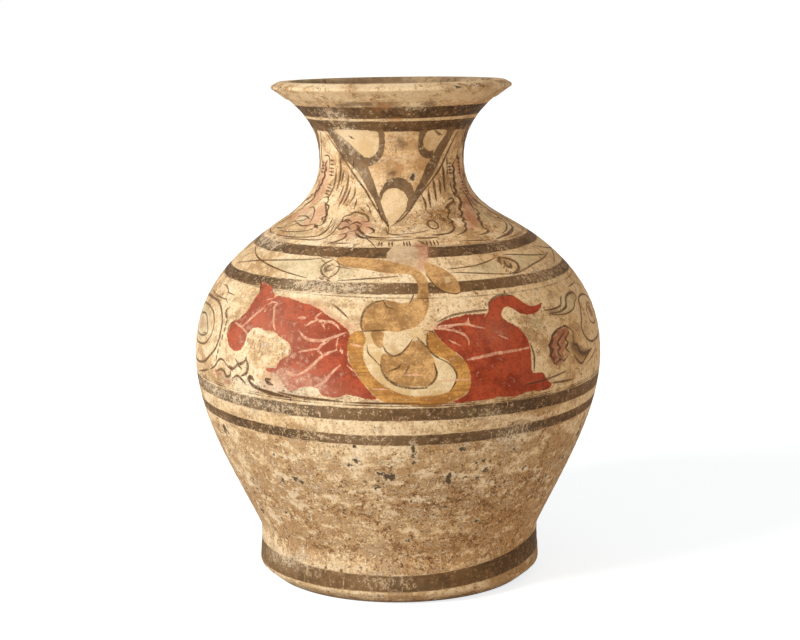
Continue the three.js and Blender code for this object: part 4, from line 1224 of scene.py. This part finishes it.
def slip(finish, g):
    colour = finish.lay(CREAM, WARM_CREAM, (g.patch + g.worn * 0.12).ramp(0.42, 0.66))
    stain = (g.mottle * 0.55 + g.patch * 0.45 + g.worn * 0.10).ramp(0.49, 0.64)
    colour = finish.lay(colour, TAN, stain * 0.55)
    rust = (g.bloom * 0.6 + g.mottle * 0.4 + g.worn * 0.06).ramp(0.555, 0.66)
    colour = finish.lay(colour, RUST, rust * 0.5)
    soil = (g.sweep * 0.45 + g.bloom * 0.3 + g.patch * 0.25 + g.worn * 0.09).ramp(0.51, 0.58)
    colour = finish.lay(colour, SOIL, soil * 0.62)
    chalk = (g.sweep * 0.6 + g.speck * 0.4 + g.worn * 0.06 + g.rubbed_and_lit * 0.08).ramp(0.55, 0.62)
    colour = finish.lay(colour, CHALK, chalk * (g.worn * 0.45 + g.rubbed_and_lit * 0.55 + 0.1))
    wipe = (g.streak * 0.65 + g.mottle * 0.35 + g.worn * 0.05).ramp(0.50, 0.62)
    colour = finish.lay(colour, TAN, wipe * 0.5)
    grain = (g.dust * 0.55 + g.speck * 0.45 + g.worn * 0.04).ramp(0.50, 0.58)
    colour = finish.lay(colour, BROWN, grain * (g.worn * 0.3 + 0.42))
    rubbed_through = (g.speck * 0.45 + g.mottle * 0.55 + g.worn * 0.11).ramp(0.585, 0.65)
    colour = finish.lay(colour, BROWN, rubbed_through * 0.75)
    fresh = g.bloom * 0.3 + g.sweep * 0.5 + g.speck * 0.2 - g.rubbed_and_lit * 0.06 - g.worn * 0.02
    colour = finish.lay(colour, MILK, fresh.ramp(0.475, 0.40) * 0.5)
    specks = (g.dust * 0.5 + g.speck * 0.3 + g.mottle * 0.2 + g.worn * 0.05).ramp(0.578, 0.615)
    colour = finish.lay(colour, UMBER, specks * 0.85)
    crumbs = (g.dust * 0.6 + g.streak * 0.4).ramp(0.45, 0.38)
    return finish.lay(colour, MILK, crumbs * 0.75)


def flakes(finish, g, colour):
    # Stains, and on the right side painted shade, multiply the colour browner and warmer.
    colour = finish.add("ShaderNodeMix", {"data_type": "RGBA", "blend_type": "MULTIPLY"},
                        {0: finish.field("stained_and_shaded"), 6: colour, 7: STAIN_AND_SHADE_TINT}, 2)
    lost = finish.field("flake")
    halo = lost + (g.bloom - 0.5) * 14 + (g.speck - 0.5) * 8
    colour = finish.lay(colour, HALO, halo.ramp(-1.4, -0.4) * 0.45)
    edge = lost + (g.speck - 0.5) * 10 + (g.dust - 0.5) * 5
    colour = finish.lay(colour, CLAY_EDGE, edge.ramp(-0.1, 0.4) * 0.9)
    return finish.lay(colour, DEEP, edge.ramp(0.35, 0.9) * 0.92)


def bare(finish, g):
    colour = finish.lay(tone(146, 120, 92), tone(176, 148, 112), g.mottle.ramp(0.42, 0.62))
    colour = finish.lay(colour, tone(104, 82, 58), g.speck.ramp(0.52, 0.66))
    colour = finish.lay(colour, tone(196, 172, 134), g.bloom.ramp(0.52, 0.66) * 0.6)
    return finish.lay(colour, tone(118, 90, 62), g.patch.ramp(0.50, 0.62) * 0.6)


RELIEF_HEIGHT = 0.9 * MM


def settle_finish(finish, g, colour, roughness, paint=0.0):
    """Puts the colour under a matt surface with the small relief of slip and paint."""
    inside = finish.field("inside").ramp(0.4, 0.6)
    colour = finish.lay(colour, bare(finish, g), inside)
    relief = g.speck * 0.6 + g.dust * 0.35 + g.streak * 0.4 + g.mottle * 0.7 + paint
    bump = finish.add("ShaderNodeBump", sockets={
        "Strength": 0.7, "Distance": RELIEF_HEIGHT, "Height": relief}, out="Normal")
    surface = finish.add("ShaderNodeBsdfPrincipled", sockets={
        "Base Color": colour, "Roughness": roughness, "Normal": bump, "Specular IOR Level": 0.28})
    finish.add("ShaderNodeOutputMaterial", sockets={"Surface": surface})
    return finish.material


# %% [markdown]
# ## Paint
#
# The painter used few colours: a dark brown for bands and lines, a dull red, an ochre and a brown. Each
# is laid over the slip where its field is below zero. Noise moves the edge by part of a millimetre, the
# brush leaves level streaks, and scratches and rubbed specks let the slip through again. Low on the foot
# the colour is laid darker towards the sole.

# %% Painted layers
BAND_LIGHT, BAND_DARK, BAND_THIN = tone(112, 82, 50), tone(76, 55, 33), tone(146, 112, 76)


def band_paint(finish, g, colour, ground):
    ragged = (g.mottle - 0.5) * 2.8 + (g.speck - 0.5) * 1.8 + (g.dust - 0.5) * 0.8
    band = finish.field("band") * (1 - g.rubbed_and_lit * 0.65) + ragged
    body = finish.lay(BAND_LIGHT, BAND_DARK, (g.mottle * 0.5 + g.patch * 0.5).ramp(0.42, 0.58))
    body = finish.lay(body, BAND_THIN, (g.level * 0.35 + g.speck * 0.65).ramp(0.50, 0.60) * 0.6)
    scars = (g.streak * 0.6 + g.mottle * 0.4 + g.rubbed_and_lit * 0.05).ramp(0.61, 0.65)
    scuff = (g.dust * 0.5 + g.speck * 0.34 + g.bloom * 0.16 + g.rubbed_and_lit * 0.055).ramp(0.565, 0.61)
    thin = (g.dust * 0.4 + g.speck * 0.35 + g.bloom * 0.25 + g.rubbed_and_lit * 0.1).ramp(0.565, 0.635, 0.0, 0.75)
    faded = finish.lay(body, ground, thin)
    painted = finish.lay(faded, finish.lay(ground, MILK, 0.3), scars.most(scuff) * 0.8)
    share = band.ramp(0.5, -0.5) * (1 - g.rubbed_and_lit * 0.14)
    return finish.lay(colour, painted, share), share


def area_paint(finish, g, colour, ground, name, light, dark, thick=0.95, ragged=0.8, rub=0.0, edge=0.3,
               streaky=0.12):
    """One area of colour: its field, two shades, how thick it lies, and how ragged and rubbed it is."""
    shift = (g.speck - 0.5) * ragged * 1.6 + (g.mottle - 0.5) * ragged + (g.dust - 0.5) * ragged
    field = finish.field(name) + shift
    brush = g.level * streaky + g.mottle * (0.55 - streaky * 0.5) + g.bloom * (0.45 - streaky * 0.5)
    shade = finish.lay(light, dark, brush.ramp(0.44, 0.56))
    shade = finish.lay(shade, dark, (g.dust * 0.6 + g.speck * 0.4).ramp(0.48, 0.57) * 0.65)
    # The veil and the fade below follow the rubbed patches: rubbing, and on the left side also painted light
    # that makes the colours paler.
    veil = g.level * streaky + g.mottle * (0.5 - streaky) + g.speck * 0.5 + g.rubbed_and_lit * 0.13
    milky = finish.lay(light, MILK, 0.38)
    shade = finish.lay(shade, milky, veil.ramp(0.55 - rub, 0.66 - rub) * 0.6)
    shade = finish.lay(shade, milky, g.rubbed_and_lit * 0.34)
    holes = (g.speck * 0.4 + g.dust * 0.45 + g.mottle * 0.15 + g.rubbed_and_lit * 0.05).ramp(0.60 - rub, 0.635 - rub)
    shade = finish.lay(shade, finish.lay(ground, MILK, 0.6), holes * 0.8)
    share = field.ramp(edge, -edge) * thick
    return finish.lay(colour, shade, share)


def line_share(finish, g, side, near, reach):
    """How much ink lies on a point: full between the sides of the line, gone past its reach."""
    line = abs(finish.field(side)) + (g.dust - 0.5) * 0.9 + (g.speck - 0.5) * 1.0
    return line.ramp(1.45, 0.6) * finish.field(near).ramp(reach + 0.3, reach - 0.2)


def ring_line(finish, g, level, width, share):
    """A thin line all round the jar, broken where the brush ran dry."""
    line = abs(finish.field("level") - level + (g.patch - 0.5) * 1.2)
    broken = (g.bloom * 0.5 + g.mottle * 0.5).ramp(0.42, 0.56, 0.10, share)
    return line.ramp(width * 0.5 + 0.3, width * 0.5 - 0.25) * broken


# %% Worn slip, the mouth rim and bare clay
finishes = {}
DARK_AT_SOLE, BROWN_LOW_ON_FOOT, RIM_CREAM = tone(92, 70, 46), tone(124, 98, 62), tone(236, 210, 170)


def matt(g, smooth, rough):
    return g.mottle.ramp(0.3, 0.7, smooth, rough)


worn = Finish("worn_slip")
grains = Grains(worn)
ground = slip(worn, grains)
coat, band_share = band_paint(worn, grains, ground, ground)
# The colour is laid darker towards the sole over the lowest few millimetres, and a little browner below about
# 30 mm.
dark_at_sole = (worn.field("level") + (grains.speck - 0.5) * 9).ramp(3.5, 0.5)
coat = worn.lay(coat, DARK_AT_SOLE, dark_at_sole * 0.6)
brown_low_on_foot = (worn.field("level") + (grains.bloom - 0.5) * 40 + (grains.speck - 0.5) * 16).ramp(40, 26)
coat = worn.lay(coat, BROWN_LOW_ON_FOOT, brown_low_on_foot * 0.2)
coat = flakes(worn, grains, coat)
finishes["worn_slip"] = settle_finish(worn, grains, coat, matt(grains, 0.78, 0.95), band_share * 0.25)

rim = Finish("rim_slip")
grains = Grains(rim)
ground = slip(rim, grains)
coat = rim.lay(ground, RIM_CREAM, grains.mottle.ramp(0.62, 0.42) * 0.55)
coat = flakes(rim, grains, coat)
finishes["rim_slip"] = settle_finish(rim, grains, coat, matt(grains, 0.74, 0.92))

coil = Finish("bare_clay")
grains = Grains(coil)
finishes["bare_clay"] = settle_finish(coil, grains, bare(coil, grains), matt(grains, 0.86, 0.97))
print("Made so far:", ", ".join(finishes))

# %% The painted slip
painted = Finish("painted_slip")
grains = Grains(painted)
ground = slip(painted, grains)


def paint(coat, name, light, dark, **how):
    return area_paint(painted, grains, coat, ground, name, tone(*light), tone(*dark), **how)


coat = paint(ground, "grey", (208, 200, 162), (188, 178, 138), thick=0.42, edge=2.0, ragged=3.0)
coat = paint(coat, "wash", (228, 184, 128), (186, 136, 82), thick=0.38, ragged=2.0, rub=0.05)
coat, band_share = band_paint(painted, grains, coat, ground)
coat = paint(coat, "stain", (196, 142, 84), (150, 98, 54), thick=0.6, edge=1.5, ragged=6.0)
coat = paint(coat, "smear", (134, 102, 70), (94, 68, 44), thick=0.7, edge=1.8, ragged=7.0)
coat = paint(coat, "dark", (130, 100, 68), (92, 68, 44), thick=0.94, ragged=1.6, rub=0.03)
coat = paint(coat, "pale", (236, 210, 168), (216, 184, 136), thick=0.9, ragged=1.4)
coat = paint(coat, "head", (226, 196, 156), (176, 138, 104), thick=0.85, ragged=4.5, rub=0.03, streaky=0.3)
coat = paint(coat, "pink", (208, 140, 110), (182, 112, 84), thick=0.46, edge=2.0, ragged=5.0, rub=0.05)
coat = paint(coat, "rose", (180, 108, 78), (136, 76, 50), thick=0.8, ragged=3.4, rub=0.05)
coat = paint(coat, "red", (180, 71, 36), (138, 45, 17), thick=0.97, ragged=2.6, rub=-0.01)
coat = paint(coat, "cloth", (240, 218, 176), (212, 178, 126), thick=0.92, ragged=1.8, rub=0.01)
coat = paint(coat, "saddle", (212, 156, 78), (160, 106, 44), thick=0.96, ragged=1.6, streaky=0.35)
coat = paint(coat, "robe", (217, 169, 109), (153, 110, 60), thick=0.95, ragged=1.5)
coat = paint(coat, "holes", (232, 208, 168), (202, 168, 120), thick=0.92, ragged=2.0)
INK, PALE_INK = tone(88, 58, 30), tone(230, 178, 146)
RING_LINES = [  # height, width, strength
    (192, 1.2, 0.8), (193.7, 0.8, 0.7), (278.6, 0.9, 0.6), (316.6, 0.8, 0.5)]
for channel in range(INK_CHANNELS):
    share = line_share(painted, grains, f"ink_side_{channel}", f"ink_near_{channel}", 2.0)
    dry = (grains.mottle * 0.4 + grains.dust * 0.6).ramp(0.42, 0.60, 1.0, 0.6)
    coat = painted.lay(coat, INK, share * dry)
for level, width, share in RING_LINES:
    coat = painted.lay(coat, INK, ring_line(painted, grains, level, width, share))
threads = line_share(painted, grains, "thread_side", "thread_near", 1.6)
coat = painted.lay(coat, PALE_INK, threads * grains.speck.ramp(0.36, 0.6, 1.0, 0.45))
coat = flakes(painted, grains, coat)
finishes["painted_slip"] = settle_finish(painted, grains, coat, matt(grains, 0.72, 0.93), band_share * 0.2)
print({name: len(made.node_tree.nodes) for name, made in finishes.items()}, "nodes in each finish")


# %% [markdown]
# ## Pieces on the body
#
# Every piece rides on the one body, takes the place of the solid it stands for, which is hidden, and carries
# its finish.

# %% Ride, replace and finish
for piece, node, finish in (
        (foot_ring, "foot_ring", "worn_slip"), (floor_slab, "base_disc", "worn_slip"),
        (lower_wall, "lower_body", "worn_slip"), (belly_wall, "belly", "painted_slip"),
        (shoulder_wall, "shoulder", "painted_slip"), (neck_wall, "neck", "painted_slip"),
        (mouth_rim, "mouth_rim", "rim_slip"),
        *((lute, node, "bare_clay") for node, lute in lutes.items())):
    piece.data.materials.clear()
    piece.data.materials.append(finishes[finish])
    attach(piece, "root")
    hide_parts(node)
print("All 13 solids are replaced")

# %% [markdown]
# ## Floor, camera and light
#
# The camera looks down on the jar by about ten degrees from almost two metres away. It rolls by a third of
# a degree, because the jar stands that much askew in its picture. A soft lamp from the upper left does
# most of the work, and a weaker one keeps the right side open. The floor and the backdrop glow white
# only for rays that the camera or a reflection sends out, so they look white without lighting the jar,
# and the floor still takes its shadow. The floor lies a hair under the sole, so that the two never share
# a plane.

# %% Levels of the studio
NEAR_GLOW, FAR_GLOW = (0.655, 0.70, 0.74, 1), (0.84, 0.86, 0.9, 1)
ROOM_LEVEL, ROOM_TINT = 0.34, (1.0, 0.92, 0.82)
PAPER = (0.80, 0.79, 0.77, 1)
FLOOR_SIZE, FLOOR_SHIFT, FLOOR_GAP = 30, 6, 0.0004
print("The floor glows at", NEAR_GLOW[0], "near the jar and at", FAR_GLOW[0], "far off")

# %% Floor
bpy.ops.object.select_all(action="DESELECT")
bpy.ops.mesh.primitive_plane_add(size=FLOOR_SIZE, location=(0, FLOOR_SHIFT, -FLOOR_GAP))
floor = bpy.context.object
floor.name = "studio_floor"
bpy.ops.object.transform_apply()
paper = Finish("studio_white")
rays = paper.add("ShaderNodeLightPath", out="Is Camera Ray")
seen = rays.most(paper.add("ShaderNodeLightPath", out="Is Glossy Ray"))
away = paper.add("ShaderNodeVectorMath", {"operation": "LENGTH"}, {0: paper.place}, "Value")
glow = paper.lay((0, 0, 0, 1), paper.lay(NEAR_GLOW, FAR_GLOW, away.ramp(0.45, 1.7)), seen)
sheet = paper.add("ShaderNodeBsdfPrincipled", sockets={
    "Base Color": PAPER, "Roughness": 1.0, "Specular IOR Level": 0.0,
    "Emission Color": glow, "Emission Strength": 1.0})
paper.add("ShaderNodeOutputMaterial", sockets={"Surface": sheet})
floor.data.materials.append(paper.material)
print("The floor is", FLOOR_SIZE, "m wide")

# %% World
world = bpy.data.worlds.new("studio")
bpy.context.scene.world = world
world.use_nodes = True
tree = world.node_tree
tree.nodes.clear()
seen = tree.nodes.new("ShaderNodeLightPath")
either = tree.nodes.new("ShaderNodeMath")
either.operation = "MAXIMUM"
room = tree.nodes.new("ShaderNodeBackground")
room.inputs["Color"].default_value = (*ROOM_TINT, 1)
room.inputs["Strength"].default_value = ROOM_LEVEL
backdrop = tree.nodes.new("ShaderNodeBackground")
backdrop.inputs["Color"].default_value = (1, 1, 1, 1)
mix = tree.nodes.new("ShaderNodeMixShader")
out = tree.nodes.new("ShaderNodeOutputWorld")
tree.links.new(seen.outputs["Is Camera Ray"], either.inputs[0])
tree.links.new(seen.outputs["Is Glossy Ray"], either.inputs[1])
tree.links.new(either.outputs[0], mix.inputs[0])
tree.links.new(room.outputs[0], mix.inputs[1])
tree.links.new(backdrop.outputs[0], mix.inputs[2])
tree.links.new(mix.outputs[0], out.inputs["Surface"])
print("The room is lit at", ROOM_LEVEL)

# %% Lamps
def soft_lamp(name, place, aim, size, power, colour):
    bpy.ops.object.light_add(type="AREA", location=place)
    lamp = bpy.context.object
    lamp.name = name
    lamp.data.shape = "DISK"
    lamp.data.size = size
    lamp.data.energy = power
    lamp.data.color = colour
    lamp.rotation_mode = "QUATERNION"
    lamp.rotation_quaternion = (Vector(aim) - Vector(place)).to_track_quat("-Z", "Y")
    print(name, "lamp shines with", power, "W")


MIDDLE = (0, 0, 0.24)
soft_lamp("key", (-1.9, -1.5, 1.55), MIDDLE, 1.1, 62, (1.0, 0.985, 0.955))
soft_lamp("fill", (1.5, -2.3, 0.9), MIDDLE, 1.6, 13, (1.0, 0.92, 0.82))

# %% Camera
FOCAL_PIXELS, FRAME_WIDTH, SENSOR = 2020.5, 800, 36
camera_data = bpy.data.cameras.new("photo_camera")
camera_data.sensor_fit = "HORIZONTAL"
camera_data.sensor_width = SENSOR
camera_data.lens = SENSOR * FOCAL_PIXELS / FRAME_WIDTH
camera = bpy.data.objects.new("photo_camera", camera_data)
bpy.context.scene.collection.objects.link(camera)
CAMERA_PITCH, CAMERA_ROLL = math.radians(10.354), math.radians(-0.35)
camera.location = (0.0019, -1.820, 0.5638)
camera.rotation_euler = (math.pi / 2 - CAMERA_PITCH, 0, 0)
camera.rotation_euler.rotate_axis("Z", CAMERA_ROLL)
bpy.context.scene.camera = camera
bpy.context.scene.view_settings.view_transform = "Standard"
print("The lens is", round(camera_data.lens, 1), "mm long")
